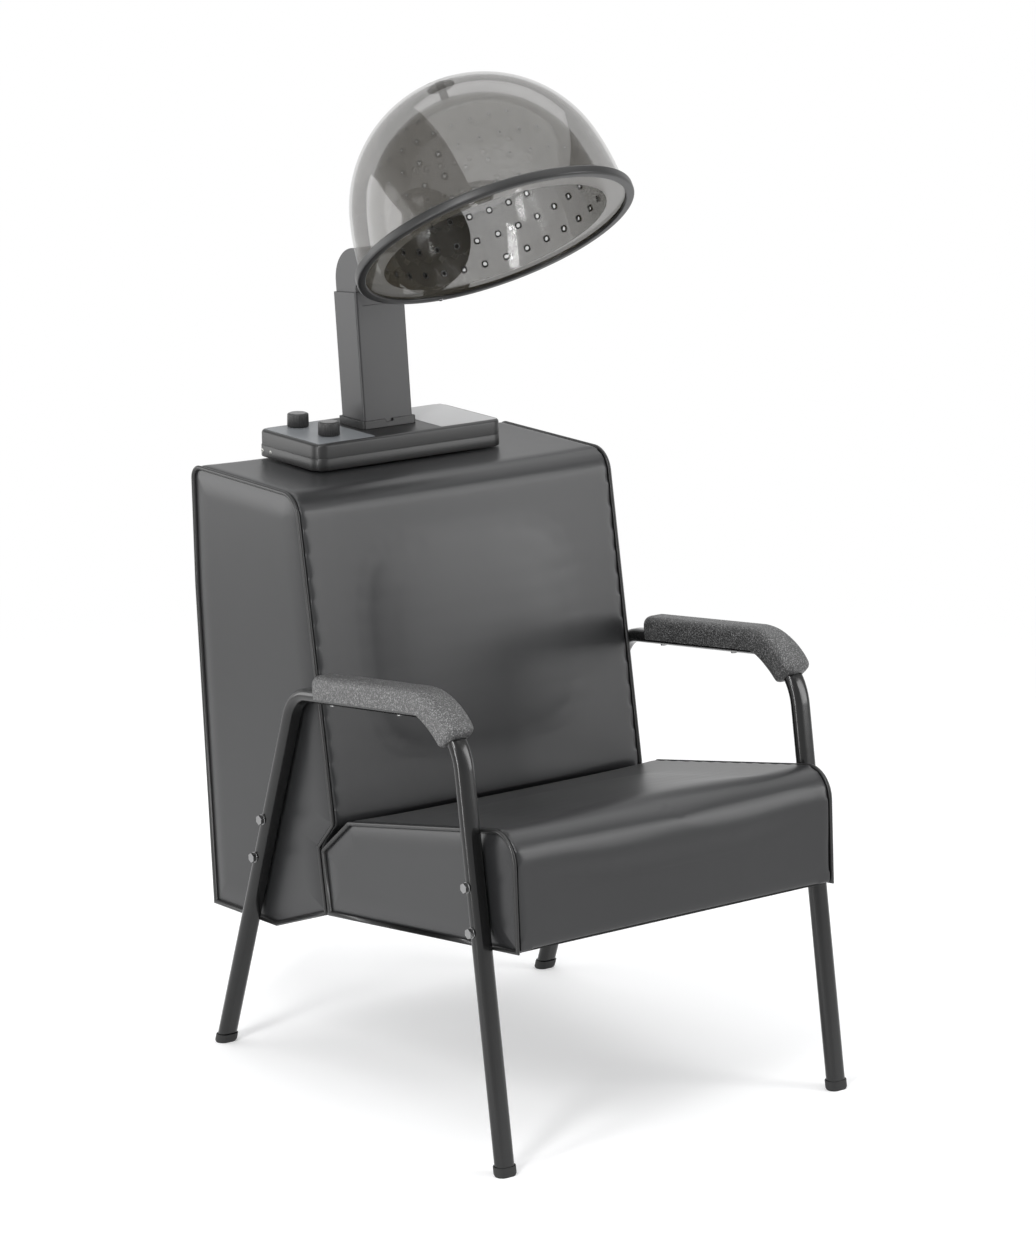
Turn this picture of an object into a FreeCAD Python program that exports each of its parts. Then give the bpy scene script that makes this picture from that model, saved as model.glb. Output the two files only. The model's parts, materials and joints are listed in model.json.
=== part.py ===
"""Hooded dryer chair: an upholstered chair on bent tube side frames with a tilting, telescoping dryer hood.

The chair faces -Y, +X is at the viewer's right when the chair is seen from the front, +Z is up, and it stands
on the floor at Z = 0. Lengths are in millimetres and angles in degrees.
"""
import FreeCAD
import Part
import math
import os

os.makedirs("parts", exist_ok=True)

# Clearances and cuts that all pieces share
seat_gap = 0.3          # curved faces that seat on each other
running_gap = 0.05      # a shaft in its bore, on the radius
slide_gap = 0.35        # the arm in the column sleeve, per side
hole_gap = 0.2          # a bolt in its hole, on the radius
overrun = 20.0          # how far a cutting tool passes the faces it cuts
flat_tolerance = 1e-7   # four corners nearer to one plane than this make one face

# Side frames: one bent flat-oval tube each
frame_spacing = 600.0   # between the middle planes of the two frames
tube_width = 30.0       # across the chair
tube_depth = 20.0       # in the plane of the frame
tube_wall = 2.0
front_foot_y = -360.0
rear_foot_y = 359.0
arm_front_y = -255.0    # where the front leg's line meets the armrest's line
arm_front_height = 640.0
arm_rear_y = 149.6      # where the rear leg's line meets the armrest's line
arm_rear_height = 587.3
front_bend_radius = 82.0
rear_bend_radius = 60.0
bend_step = 22.5        # largest turn between two sections of a bend
tube_end_steps = 4      # flats in a quarter of the tube's rounded ends
pad_corner_steps = 3    # flats in each rounded corner of a pad's section
small_sides = 16        # of small round pieces that turn on nothing
glide_height = 14.0
glide_wall = 1.6
glide_sole = 6.0
glide_shoulder = 3.0    # height of the rounded foot's widest place

# Armrest pads
pad_width = 45.0
pad_height = 33.0       # above the tube's centre line
pad_under = 21.0        # below the centre line where it wraps the front bend
pad_rear_setback = 36.0     # from the rear corner of the armrest's line
pad_wrap_angle = 58.0   # how far the pad follows the front bend
pad_corner_radius = 13.0
pad_edge_radius = 3.0
pad_screw_radius = 2.4
pad_screw_head_radius = 4.6
pad_screw_head_height = 2.6
pad_screw_grip = 12.0   # into the pad
pad_screw_shares = (0.2, 0.78)      # places along the straight armrest
pad_rear_shares = ((0.0, 0.74, 0.86), (0.25, 0.92, 0.96), (1.0, 1.0, 1.0))
pad_wrap_shares = (0.0, 0.12, 0.3, 0.5, 0.7, 0.88, 0.97, 1.0)
pad_under_shares = (0.0, 0.45, 0.9, 1.0, 1.0, 1.0, 0.93, 0.78)
pad_top_shares = (1.0, 0.98, 0.95, 0.9, 0.87, 0.85, 0.82, 0.7)
pad_width_shares = (1.0, 1.0, 1.0, 1.0, 1.0, 0.99, 0.95, 0.87)

# Bolts that hold seat and back
bolt_radius = 4.0
bolt_head_width = 13.0
bolt_head_height = 5.4
washer_radius = 8.0
washer_thickness = 1.6
seat_bolt_lifts = (22.0, 85.0)      # above the seat's lower front edge
back_bolt_lifts = (60.0, 123.0)     # above the back's lower front edge

# Upholstery that seat and back share
welt_radius = 2.8
welt_clearance = 0.7    # between the welt and the tube
welt_step = 15.0        # largest turn between two sections of the welt
welt_gap = 0.6          # from the welt to a side panel's edge
welt_sides = 8          # of the cord's section
board_thickness = 15.0
cover_thickness = 2.0   # the thin cloth panel underneath
side_crown = 2.3        # how far a side panel swells past its edge
crown_run = 26.0        # from a side panel's edge to its full swell
least_radius = 2.0

# Back
back_lip_y = 84.0       # the foremost place of the back, just above the seat
back_lip_height = 398.0
back_seam_y = 122.0     # where the lip tucks in behind the seat
back_seam_height = 357.0
back_foot_y = 105.0
back_foot_height = 259.0
back_top_height = 874.0
back_top_front_y = 169.3
back_top_rear_y = 451.5
back_kink_y = 446.0
back_kink_drop = 184.0  # of the rear face's bend below the top
back_base_rear_y = 411.0
back_base_rear_height = 201.0
back_base_y = 239.6
back_base_height = 207.9
back_pad_thickness = 60.0
back_padding = 14.0     # over the top edge, and the rear panel's thickness
back_strip_drop = 27.0  # the top strip's fall over the rear edge
top_front_radius = 40.0
top_rear_radius = 21.0
lip_radius = 10.0
base_corner = 5.0
back_crown = 8.0

# Seat
seat_front_y = -369.0
seat_front_foot_height = 319.0
seat_front_top_y = -359.4
seat_front_top_height = 496.0
seat_bevel_y = 47.0
seat_bevel_height = 414.0
seam_gap = 5.0          # between seat and back behind the lip
seat_rear_drop = 1.0    # of the seat's rear edge below the back's seam
seat_rail_height = 108.0
seat_board_thickness = 12.0
seat_apron = 12.0       # padding in front of the frame
joint_gap = 44.0        # between the seat's rear board and the back's front board
front_roll_radius = 45.0
bevel_radius = 14.0
rear_edge_radius = 8.0
seat_crown = 9.0
joint_bolt_spacing = 300.0
joint_bolt_lift = 59.0  # above the back's lower front edge
joint_bolt_radius = 4.0
joint_bolt_head_width = 13.0
joint_bolt_head_height = 5.3

# Crown of the cushions: places from the middle to the side, and the swell there
crown_place_shares = (0.0, 0.55, 0.86, 0.96, 1.0)
crown_lift_shares = (1.0, 0.8, 0.36, 0.04, -0.3)

# Intake grille and filter in the rear panel
grille_width = 210.0
grille_height = 96.0
grille_drop = 106.0     # of its middle below the back's top
grille_flange = 9.0
grille_thickness = 3.0
grille_slot = 3.6
grille_slot_count = 9
grille_corner = 6.0
filter_thickness = 8.0
gland_height = 262.0
gland_radius = 9.0
gland_bore = 3.4
gland_flange = 3.0

# Control base
base_width = 340.0
base_depth = 165.0
base_front_y = 281.5
tray_height = 18.0
cover_height = 22.0
base_corner_radius = 20.0
base_edge_radius = 4.5
base_wall = 2.6
base_draft = 4.0
seam_step = 0.8
plate_width = 102.0
plate_depth = 148.0
plate_thickness = 1.4
plate_recess = 0.9
plate_side_margin = 8.0
plate_corner_radius = 3.0

# Knobs, timer and switch
knob_radius = 16.4
knob_height = 19.0
knob_draft = 1.2
knob_flutes = 24
knob_flute_depth = 0.9
knob_lift = 1.0
knob_cap_radius = 13.0
knob_cap_height = 1.2
knob_x_margin = 58.0    # from the base's left side
knob_rear_margin = 26.5
knob_spacing = 83.0
spindle_radius = 3.0
spindle_depth = 14.0    # below the plate
spindle_grip = 14.0     # into the knob
timer_side = 46.0
timer_height = 20.0
switch_side = 34.0
switch_height = 16.0

# Column and arm
column_lean = 5.8
column_width = 89.0
column_depth = 60.0
column_wall = 3.4
column_corner_radius = 4.0
column_length = 202.0   # above the base cover
column_setback = 90.6   # of its axis behind the base's front, at the cover's top
collar_height = 12.0
collar_wall = 3.4
collar_notch_width = 12.0
collar_notch_depth = 4.0
window_width = 66.0
window_height = 17.0
window_drop = 4.0
window_recess = 0.7
arm_insert = 150.0      # length inside the sleeve
arm_wall = 3.0
arm_rise = 66.0         # from the sleeve's top to the arm's top
arm_box_height = 51.5   # of the level part
arm_bend_radius = 50.0
arm_throat_radius = 10.0
arm_port_width = 40.0
arm_port_height = 22.0

# Hood hinge
hinge_reach = 97.0      # ahead of the column's axis
hinge_rise = 38.5       # above the sleeve's top
barrel_radius = 22.0
barrel_clearance = 1.0
cheek_radius = 25.0
cheek_thickness = 10.2
cheek_run = 8.0         # of the open fork behind the hinge
pin_radius = 5.0
pin_head_radius = 9.0
pin_head_height = 3.0
washer_plate = 1.0
friction_radius = 14.0

# Hood
hood_tilt = 33.2
hood_reach = 233.1      # from the hood's axis to the hinge
hood_hinge_level = 73.3     # of the hinge above the rim's underside
rim_radius = 211.0
rim_height = 13.5
rim_width = 13.0
dome_radius = 201.0
dome_level = 6.9        # of its lower edge above the rim's underside
dome_height = 248.0     # crown above the rim's underside
dome_wall = 4.0
skirt_angle = 14.0      # turn of the lower, flatter arc of the dome
skirt_steps = 2
dome_sides = 48         # short flats round each dome and the rim, all in line
crown_steps = 7
crown_flat_angle = 5.0  # from the axis to the last step, under the crown plug
dome_spacing = 29.0     # from the outer dome's face to the inner dome's face
inner_wall = 3.0
flange_level = 3.6
flange_radius = 204.0
neck_width = 56.0
neck_height = 38.0
neck_corner = 6.0
neck_bore = 17.0
neck_flange_radius = 44.0
neck_flange_thickness = 4.0
plenum_radius = 72.0
plenum_level = 79.8
plenum_wall = 2.6
plenum_port_count = 10
plenum_port_width = 12.0
plug_radius = 20.5
plug_height = 3.6
plug_stem_radius = 6.0
hole_radius = 3.6
hole_sides = 8          # of each hole
hole_columns = 16
hole_row_spacing = 36.5
hole_first_level = 26.5
hole_rows = 2

# Blower inside the back
blower_drop = 114.0     # of its axis below the back's top
scroll_start_radius = 64.0
scroll_growth = 5.0     # radius gained each quarter turn
scroll_width = 72.0
scroll_wall = 2.0
outlet_depth = 46.0
outlet_rear_gap = 0.8   # from the outlet's rear wall to the column's inner face
inlet_radius = 40.0
impeller_radius = 56.0
impeller_width = 50.0
impeller_blades = 20
blade_depth = 11.0
blade_thickness = 1.4
blade_angle = 25.0
impeller_disc = 2.0
hub_radius = 8.0
motor_radius = 32.0
motor_length = 46.0
motor_sides = 24
motor_boss_radius = 12.0
shaft_radius = 4.0
shaft_grip = 38.0       # into the motor
heater_height = 34.0
heater_lift = 8.0       # above the tongue of the scroll
heater_plate = 1.2
heater_rod_radius = 1.2
heater_rods = 4

BODY = {}


def point(x, y, z):
    return FreeCAD.Vector(x, y, z)


def keep(name, shape):
    """Store a finished sub-part under its node name."""
    BODY[name] = shape
    return shape


def rounded_edges(corners, radii, closed=True):
    """Edges through the corners, each corner rounded by a tangent arc of its own radius."""
    count = len(corners)
    entries = []
    exits = []
    arcs = []
    for index in range(count):
        corner = corners[index]
        at_end = not closed and index in (0, count - 1)
        if radii[index] == 0 or at_end:
            entries.append(corner)
            exits.append(corner)
            arcs.append(None)
            continue
        before = (corners[index - 1] - corner).normalize()
        after = (corners[(index + 1) % count] - corner).normalize()
        half = before.getAngle(after) / 2
        reach = radii[index] / math.tan(half)
        bisector = (before + after).normalize()
        middle = corner + bisector * (radii[index] / math.sin(half) - radii[index])
        entries.append(corner + before * reach)
        exits.append(corner + after * reach)
        arcs.append(Part.Arc(entries[-1], middle, exits[-1]).toShape())
    edges = []
    for index in range(count):
        if arcs[index] is not None:
            edges.append(arcs[index])
        following = (index + 1) % count
        if closed or following != 0:
            start = exits[index]
            end = entries[following]
            if start.distanceToPoint(end) > running_gap:
                edges.append(Part.makeLine(start, end))
    return edges


def rounded_wire(corners, radii, closed=True):
    return Part.Wire(rounded_edges(corners, radii, closed))


def side_wire(corners, radii, x):
    """A rounded outline in the plane of the side view, at the given x. Corners are (y, z)."""
    return rounded_wire([point(x, y, z) for y, z in corners], radii)


def side_prism(corners, radii, low_x, high_x):
    face = Part.Face(side_wire(corners, radii, low_x))
    return outward(face.extrude(point(high_x - low_x, 0, 0)))


def crossing(a, b, c, d):
    """Where the line through a and b meets the line through c and d, in the side view."""
    ab = (b[0] - a[0], b[1] - a[1])
    cd = (d[0] - c[0], d[1] - c[1])
    cross = ab[0] * cd[1] - ab[1] * cd[0]
    t = ((c[0] - a[0]) * cd[1] - (c[1] - a[1]) * cd[0]) / cross
    return (a[0] + ab[0] * t, a[1] + ab[1] * t)


def at_height(a, b, height):
    """The place on the line through a and b at a given height."""
    share = (height - a[1]) / (b[1] - a[1])
    return (a[0] + (b[0] - a[0]) * share, height)


def turns_left(corners):
    area = 0
    for (y0, z0), (y1, z1) in zip(corners, corners[1:] + corners[:1]):
        area += y0 * z1 - y1 * z0
    return area > 0


def shifted_line(a, b, distance):
    """The line through a and b, moved to its left by a distance."""
    length = math.hypot(b[0] - a[0], b[1] - a[1])
    across = (-(b[1] - a[1]) / length * distance, (b[0] - a[0]) / length * distance)
    return (a[0] + across[0], a[1] + across[1]), (b[0] + across[0], b[1] + across[1])


def offset_corners(corners, moves):
    """Move each edge outward by its own distance and return the new corners. Edge i starts at corner i."""
    corners = list(corners)
    side = -1 if turns_left(corners) else 1
    count = len(corners)
    lines = [shifted_line(corners[index], corners[(index + 1) % count], moves[index] * side)
             for index in range(count)]
    return [crossing(*lines[index - 1], *lines[index]) for index in range(count)]


def inset(corners, distance):
    return offset_corners(corners, [-distance] * len(corners))


def inset_radii(radii, distance):
    return [max(radius - distance, least_radius) if radius else 0 for radius in radii]


def bent_path(corners, radii, step):
    """Places and directions along a line with rounded corners: both ends, and every bend in equal steps."""
    stations = [(corners[0], (corners[1] - corners[0]).normalize())]
    for index in range(1, len(corners) - 1):
        before = (corners[index] - corners[index - 1]).normalize()
        after = (corners[index + 1] - corners[index]).normalize()
        if radii[index] == 0:
            stations.append((corners[index], (before + after).normalize()))
            continue
        turn = before.getAngle(after)
        entry = corners[index] - before * (radii[index] * math.tan(turn / 2))
        axis = before.cross(after).normalize()
        centre = entry + axis.cross(before) * radii[index]
        parts = max(1, math.ceil(math.degrees(turn) / step))
        for part in range(parts + 1):
            rotation = FreeCAD.Rotation(axis, math.degrees(turn) * part / parts)
            stations.append((centre + rotation.multVec(entry - centre), rotation.multVec(before)))
    stations.append((corners[-1], (corners[-1] - corners[-2]).normalize()))
    return stations


def cylinder(radius, height, base, axis):
    return Part.makeCylinder(radius, height, base, axis)


def cylinder_between(radius, start, end):
    return Part.makeCylinder(radius, start.distanceToPoint(end), start, end - start)


def polygon_corners(base, across, along, radius, sides):
    """Corners of a regular polygon about a place, all at the radius."""
    turns = [2 * math.pi * index / sides for index in range(int(sides))]
    return [base + across * (radius * math.cos(turn)) + along * (radius * math.sin(turn)) for turn in turns]


def level_corners(radius, level, sides):
    """Corners of a level regular polygon about the vertical axis."""
    return polygon_corners(point(0, 0, level), point(1, 0, 0), point(0, 1, 0), radius, sides)


def flat_face(corners):
    return Part.Face(Part.makePolygon(corners + corners[:1]))


def polygon_prism(radius, sides, height, base, axis):
    prism = outward(flat_face(level_corners(radius, 0, sides)).extrude(point(0, 0, height)))
    prism.Placement = FreeCAD.Placement(base, FreeCAD.Rotation(point(0, 0, 1), axis))
    return prism


def hexagon_prism(width, height, base, axis):
    """A hexagonal head or nut of the given width across flats."""
    return polygon_prism(width / math.sqrt(3), 6, height, base, axis)


def plan_wire(width, depth, radius, middle, level):
    """A rounded rectangle seen from above."""
    x, y = middle
    corners = [point(x + sx * width / 2, y + sy * depth / 2, level) for sx, sy in
               ((-1, -1), (1, -1), (1, 1), (-1, 1))]
    return rounded_wire(corners, [radius] * 4)


def plan_prism(width, depth, radius, middle, low, high):
    return outward(Part.Face(plan_wire(width, depth, radius, middle, low)).extrude(point(0, 0, high - low)))


def box(low, high):
    return Part.makeBox(high[0] - low[0], high[1] - low[1], high[2] - low[2], point(*low))


def placed(shape, lean, origin):
    """Lean a shape's top back about the cross axis and set it at an origin."""
    copy = shape.copy()
    copy.rotate(point(0, 0, 0), point(1, 0, 0), -lean)
    copy.translate(origin)
    return copy


def moved(shape, offset):
    copy = shape.copy()
    copy.translate(offset)
    return copy


def mirrored(shape):
    return shape.mirror(point(0, 0, 0), point(1, 0, 0))


def outward(shape):
    """The same solid with its faces pointing outwards."""
    if shape.Volume < 0:
        shape.reverse()
    return shape


def loft(wires):
    """A solid through several outlines, straight between one and the next."""
    return outward(Part.makeLoft(wires, True, True))


def flat_loft(rings):
    """A solid through rings of corners. Each of its sides is flat, or two triangles where that can't be."""
    faces = [flat_face(rings[0]), flat_face(rings[-1])]
    for low, high in zip(rings, rings[1:]):
        for index in range(len(low)):
            following = (index + 1) % len(low)
            corners = [low[index], low[following], high[following], high[index]]
            normal = (corners[1] - corners[0]).cross(corners[2] - corners[0]).normalize()
            if abs((corners[3] - corners[0]).dot(normal)) < flat_tolerance:
                faces.append(flat_face(corners))
            else:
                faces += [flat_face(corners[:3]), flat_face([corners[0], corners[2], corners[3]])]
    shell = Part.makeShell(faces)
    shell.sewShape()
    return outward(Part.makeSolid(shell))


def fused(shapes):
    result = shapes[0]
    for shape in shapes[1:]:
        result = result.fuse(shape)
    return result.removeSplitter()


def cut_by(shape, tools):
    return shape.cut(list(tools))


def group(shapes):
    """Separate solids kept in one node."""
    return Part.makeCompound(shapes)


def oval_corners(base, across, along, width, depth):
    """A flat oval: straight sides along the width, and round ends of short flats that touch the half circles."""
    step = math.pi / 2 / tube_end_steps
    reach = depth / 2 / math.cos(step / 2)
    corners = []
    for sign in (1, -1):
        end = base + across * (sign * (width - depth) / 2)
        for index in range(2 * tube_end_steps):
            turn = step * (index + 1 / 2) - math.pi / 2
            corners.append(end + across * (sign * reach * math.cos(turn)) + along * (sign * reach * math.sin(turn)))
    return corners


# Side frames, armrest pads and glides

half_spacing = frame_spacing / 2
frame_corners = ((front_foot_y, 0.0), (arm_front_y, arm_front_height),
                 (arm_rear_y, arm_rear_height), (rear_foot_y, 0.0))


def leg_y(front, height):
    """Where a leg's centre line is at a given height."""
    if front:
        return front_foot_y + (arm_front_y - front_foot_y) * height / arm_front_height
    return rear_foot_y + (arm_rear_y - rear_foot_y) * height / arm_rear_height


def leg_direction(front):
    if front:
        return point(0, arm_front_y - front_foot_y, arm_front_height).normalize()
    return point(0, arm_rear_y - rear_foot_y, arm_rear_height).normalize()


def tube_loft(stations, extra):
    """The tube's flat oval, grown by an extra all round, lofted along its stations."""
    across = point(1, 0, 0)
    return flat_loft([oval_corners(place, across, across.cross(direction), tube_width + 2 * extra,
                                   tube_depth + 2 * extra) for place, direction in stations])


def oval_tube(x, lift, extra):
    """A solid along a whole side frame, from front foot over the armrest to rear foot."""
    corners = [point(x, leg_y(True, lift), lift), point(x, *frame_corners[1]),
               point(x, *frame_corners[2]), point(x, leg_y(False, lift), lift)]
    return tube_loft(bent_path(corners, (0, front_bend_radius, rear_bend_radius, 0), bend_step), extra)


def leg_rod(x, front, low, high, extra):
    """A solid along a straight stretch of one leg."""
    direction = leg_direction(front)
    return tube_loft([(point(x, leg_y(front, height), height), direction) for height in (low, high)], extra)


def arm_direction():
    return point(0, arm_rear_y - arm_front_y, arm_rear_height - arm_front_height).normalize()


def front_bend():
    """Centre of the front bend and its start on the armrest side."""
    corner = point(0, arm_front_y, arm_front_height)
    back = arm_direction()
    down = leg_direction(True) * -1
    half = back.getAngle(down) / 2
    centre = corner + (back + down).normalize() * (front_bend_radius / math.sin(half))
    return centre, corner + back * (front_bend_radius / math.tan(half))


def pad_section(base, up, top, under, width, corner, edge):
    """Cross-section of an armrest pad round the tube's centre line at base."""
    across = point(1, 0, 0) * (width / 2)
    corners = [base - across - up * under, base + across - up * under,
               base + across + up * top, base - across + up * top]
    places = []
    for edge_line in rounded_edges(corners, [edge, edge, corner, corner]):
        if edge_line.Curve.TypeId == "Part::GeomCircle":
            places += edge_line.discretize(pad_corner_steps + 1)
    return places


def make_armrest_pad(x):
    """A moulded pad: a cap on the straight armrest that closes round the tube in the front bend."""
    centre, bend_start = front_bend()
    back = arm_direction()
    up = point(1, 0, 0).cross(back)
    offset = point(x, 0, 0)
    rear = point(0, arm_rear_y, arm_rear_height) - back * pad_rear_setback
    least = pad_edge_radius / 2
    sections = []
    for place, top_share, width_share in pad_rear_shares:
        base = rear - back * (pad_height * place) + offset
        sections.append(pad_section(base, up, pad_height * top_share, least, pad_width * width_share,
                                    pad_corner_radius * top_share, least))
    start_arm = bend_start - centre
    for place, under, top, width in zip(pad_wrap_shares, pad_under_shares, pad_top_shares, pad_width_shares):
        arm = FreeCAD.Rotation(point(1, 0, 0), pad_wrap_angle * place).multVec(start_arm)
        away = point(arm.x, arm.y, arm.z).normalize()
        low = least + (pad_under - least) * under
        edge = least + (pad_corner_radius - least) * under * top
        sections.append(pad_section(centre + arm + offset, away, pad_height * top, low, pad_width * width,
                                    pad_corner_radius * top, min(edge, pad_corner_radius * top)))
    pad = flat_loft(sections).cut(oval_tube(x, glide_sole, seat_gap))
    return cut_by(pad, pad_screws(x, hole_gap, False))


def pad_screws(x, extra, with_head):
    """Screws from below through the tube into the pad."""
    centre, bend_start = front_bend()
    back = arm_direction()
    up = point(1, 0, 0).cross(back)
    rear = point(0, arm_rear_y, arm_rear_height) - back * pad_rear_setback
    shapes = []
    for share in pad_screw_shares:
        middle = rear + (bend_start - rear) * share + point(x, 0, 0)
        seat = middle - up * (tube_depth / 2)
        length = tube_depth + pad_screw_grip + extra
        shank = polygon_prism(pad_screw_radius + extra, small_sides / 2, length, seat, up)
        if with_head:
            head = polygon_prism(pad_screw_head_radius, small_sides, pad_screw_head_height,
                                 seat - up * pad_screw_head_height, up)
            shank = fused([shank, head])
        shapes.append(shank)
    return shapes


def bolt_places():
    """Middle and side of each bolt that holds seat and back."""
    places = []
    for front, foot, lifts in ((True, seat_front_foot_height, seat_bolt_lifts),
                               (False, back_foot_height, back_bolt_lifts)):
        for lift in lifts:
            height = foot + lift
            for side in (-1, 1):
                places.append((point(side * half_spacing, leg_y(front, height), height), side))
    return places


def bolt_holes(radius):
    """Cutting rods along every bolt."""
    rods = []
    for middle, side in bolt_places():
        start = middle - point(side * overrun * 4, 0, 0)
        rods.append(cylinder(radius, overrun * 6, start, point(side, 0, 0)))
    return rods


def make_side_frame(x):
    tube = oval_tube(x, glide_shoulder, 0).cut(oval_tube(x, 0, -tube_wall))
    tube = cut_by(tube, bolt_holes(bolt_radius + hole_gap))
    tube = cut_by(tube, pad_screws(x, hole_gap, False))
    floor_cut = box((x - tube_width, front_foot_y - tube_width * 2, -overrun),
                    (x + tube_width, rear_foot_y + tube_width * 2, glide_sole))
    return tube.cut(floor_cut)


def make_glide(x, front):
    """A moulded cup on the end of a leg, rounded at the foot and flat where it meets the floor."""
    across = point(1, 0, 0)
    along = point(0, 1, 0)
    width = tube_width + 2 * (glide_wall + seat_gap)
    depth = (tube_depth + 2 * (glide_wall + seat_gap)) / leg_direction(front).z
    sections = []
    for height, drawn_in in ((0, glide_shoulder), (glide_shoulder, 0), (glide_height, 0)):
        base = point(x, leg_y(front, height), height)
        sections.append(oval_corners(base, across, along, width - drawn_in, depth - drawn_in))
    pocket = leg_rod(x, front, -overrun, glide_height + overrun, seat_gap)
    below = box((x - tube_width, leg_y(front, 0) - tube_width * 2, -overrun * 3),
                (x + tube_width, leg_y(front, 0) + tube_width * 2, glide_sole))
    return flat_loft(sections).cut(pocket.cut(below))


def make_frames():
    for name, side in (("left", -1), ("right", 1)):
        keep("side_frame_" + name, make_side_frame(side * half_spacing))
        keep("armrest_pad_" + name, make_armrest_pad(side * half_spacing))
    keep("foot_glides", group([make_glide(side * half_spacing, front)
                               for side in (-1, 1) for front in (True, False)]))
    keep("armrest_screws", group(pad_screws(-half_spacing, 0, True) + pad_screws(half_spacing, 0, True)))


make_frames()

# Upholstery: outlines of back and seat in the side view, as (y, z)

welt_x = half_spacing - tube_width / 2 - welt_clearance - welt_radius
body_half_width = welt_x - welt_radius - seat_gap       # where cushions and frames end
panel_half_width = welt_x + welt_radius                 # the side panels' outer face
edge_inset = 2 * welt_radius + welt_gap                 # the side panels' edge, inside the welt

back_foot = (back_foot_y, back_foot_height)
back_seam = (back_seam_y, back_seam_height)
back_lip = (back_lip_y, back_lip_height)
back_top_front = (back_top_front_y, back_top_height)
back_top_rear = (back_top_rear_y, back_top_height)
back_kink = (back_kink_y, back_top_height - back_kink_drop)
back_base_rear = (back_base_rear_y, back_base_rear_height)
back_base = (back_base_y, back_base_height)
back_outline = (back_foot, back_seam, back_lip, back_top_front, back_top_rear, back_kink, back_base_rear, back_base)
back_radii = (base_corner, least_radius, lip_radius, top_front_radius, top_rear_radius, 0, base_corner, 0)

back_line_foot = crossing(back_lip, back_top_front, back_base, back_foot)
back_core = (back_line_foot, back_top_front, back_top_rear, back_kink, back_base_rear, back_base)
back_frame_outline = offset_corners(back_core, (-back_pad_thickness, -back_padding, -back_padding, -back_padding,
                                                -cover_thickness, -cover_thickness))
back_sheet_outline = offset_corners(back_core, (-back_pad_thickness, -back_padding, -back_padding, -back_padding,
                                                0, 0))

seam_line = shifted_line(back_foot, back_seam, seam_gap)
seat_front_foot = (seat_front_y, seat_front_foot_height)
seat_front_top = (seat_front_top_y, seat_front_top_height)
seat_bevel = (seat_bevel_y, seat_bevel_height)
seat_rear_top = at_height(*seam_line, back_seam_height - seat_rear_drop)
seat_rear_foot = at_height(*seam_line, back_foot_height)
seat_outline = (seat_front_foot, seat_front_top, seat_bevel, seat_rear_top, seat_rear_foot)
seat_radii = (base_corner, front_roll_radius, bevel_radius, rear_edge_radius, base_corner)

joint_line = shifted_line(back_frame_outline[0], back_frame_outline[1], joint_gap)
rail_top_line = ((seat_front_foot[0], seat_front_foot[1] + seat_rail_height),
                 (seat_rear_foot[0], seat_rear_foot[1] + seat_rail_height))
seat_front_line = shifted_line(seat_front_foot, seat_front_top, -seat_apron)
seat_sheet_front = crossing(*seat_front_line, seat_front_foot, seat_rear_foot)
seat_sheet_rear = crossing(*joint_line, seat_front_foot, seat_rear_foot)
seat_frame_sheet = (seat_sheet_front, crossing(*seat_front_line, *rail_top_line),
                    crossing(*joint_line, *rail_top_line), seat_sheet_rear)
seat_frame_outline = offset_corners(seat_frame_sheet, (0, 0, 0, -cover_thickness))


def crowned(outline, radii, moves, crown):
    """A cushion lofted across the chair: each edge swells by its share of the crown, less towards the sides."""
    sections = []
    places = list(zip(crown_place_shares, crown_lift_shares))
    for place, lift in [(-share, lift) for share, lift in reversed(places[1:])] + places:
        corners = offset_corners(outline, [move * crown * lift for move in moves])
        sections.append(side_wire(corners, radii, place * body_half_width))
    return loft(sections)


def side_panel(outline, radii):
    """A padded side panel inside the welt, swelling from its edge to a flat middle."""
    steps = ((body_half_width, edge_inset), (panel_half_width - side_crown, edge_inset),
             (panel_half_width, edge_inset + crown_run))
    panel = loft([side_wire(inset(outline, distance), inset_radii(radii, distance), x) for x, distance in steps])
    return cut_by(panel, bolt_holes(bolt_radius + hole_gap))


def welt(outline, radii):
    """A cord along an open outline, its axis one radius inside it, mitred where a corner is tighter than the cord."""
    corners = [point(welt_x, y, z) for y, z in outline]
    radii = [radius if radius > welt_radius else 0 for radius in radii]
    across = point(1, 0, 0)
    return flat_loft([polygon_corners(place, across, across.cross(direction), welt_radius, welt_sides)
                      for place, direction in bent_path(corners, radii, welt_step)])


def joint_bolt_line():
    """Middle of a joint bolt on the seat's rear board, and the bolt's direction towards the back."""
    place = at_height(*joint_line, back_foot_height + joint_bolt_lift)
    low, high = joint_line
    direction = point(0, high[1] - low[1], -(high[0] - low[0])).normalize()
    return point(0, *place), direction


def joint_bolts(radius, extra):
    """Rods through the seat's rear board and the back's front board."""
    middle, direction = joint_bolt_line()
    start = middle - direction * (board_thickness + joint_bolt_head_height + extra)
    length = joint_gap + 2 * (board_thickness + joint_bolt_head_height + extra)
    return [cylinder(radius, length, start + point(side * joint_bolt_spacing / 2, 0, 0), direction)
            for side in (-1, 1)]


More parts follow.
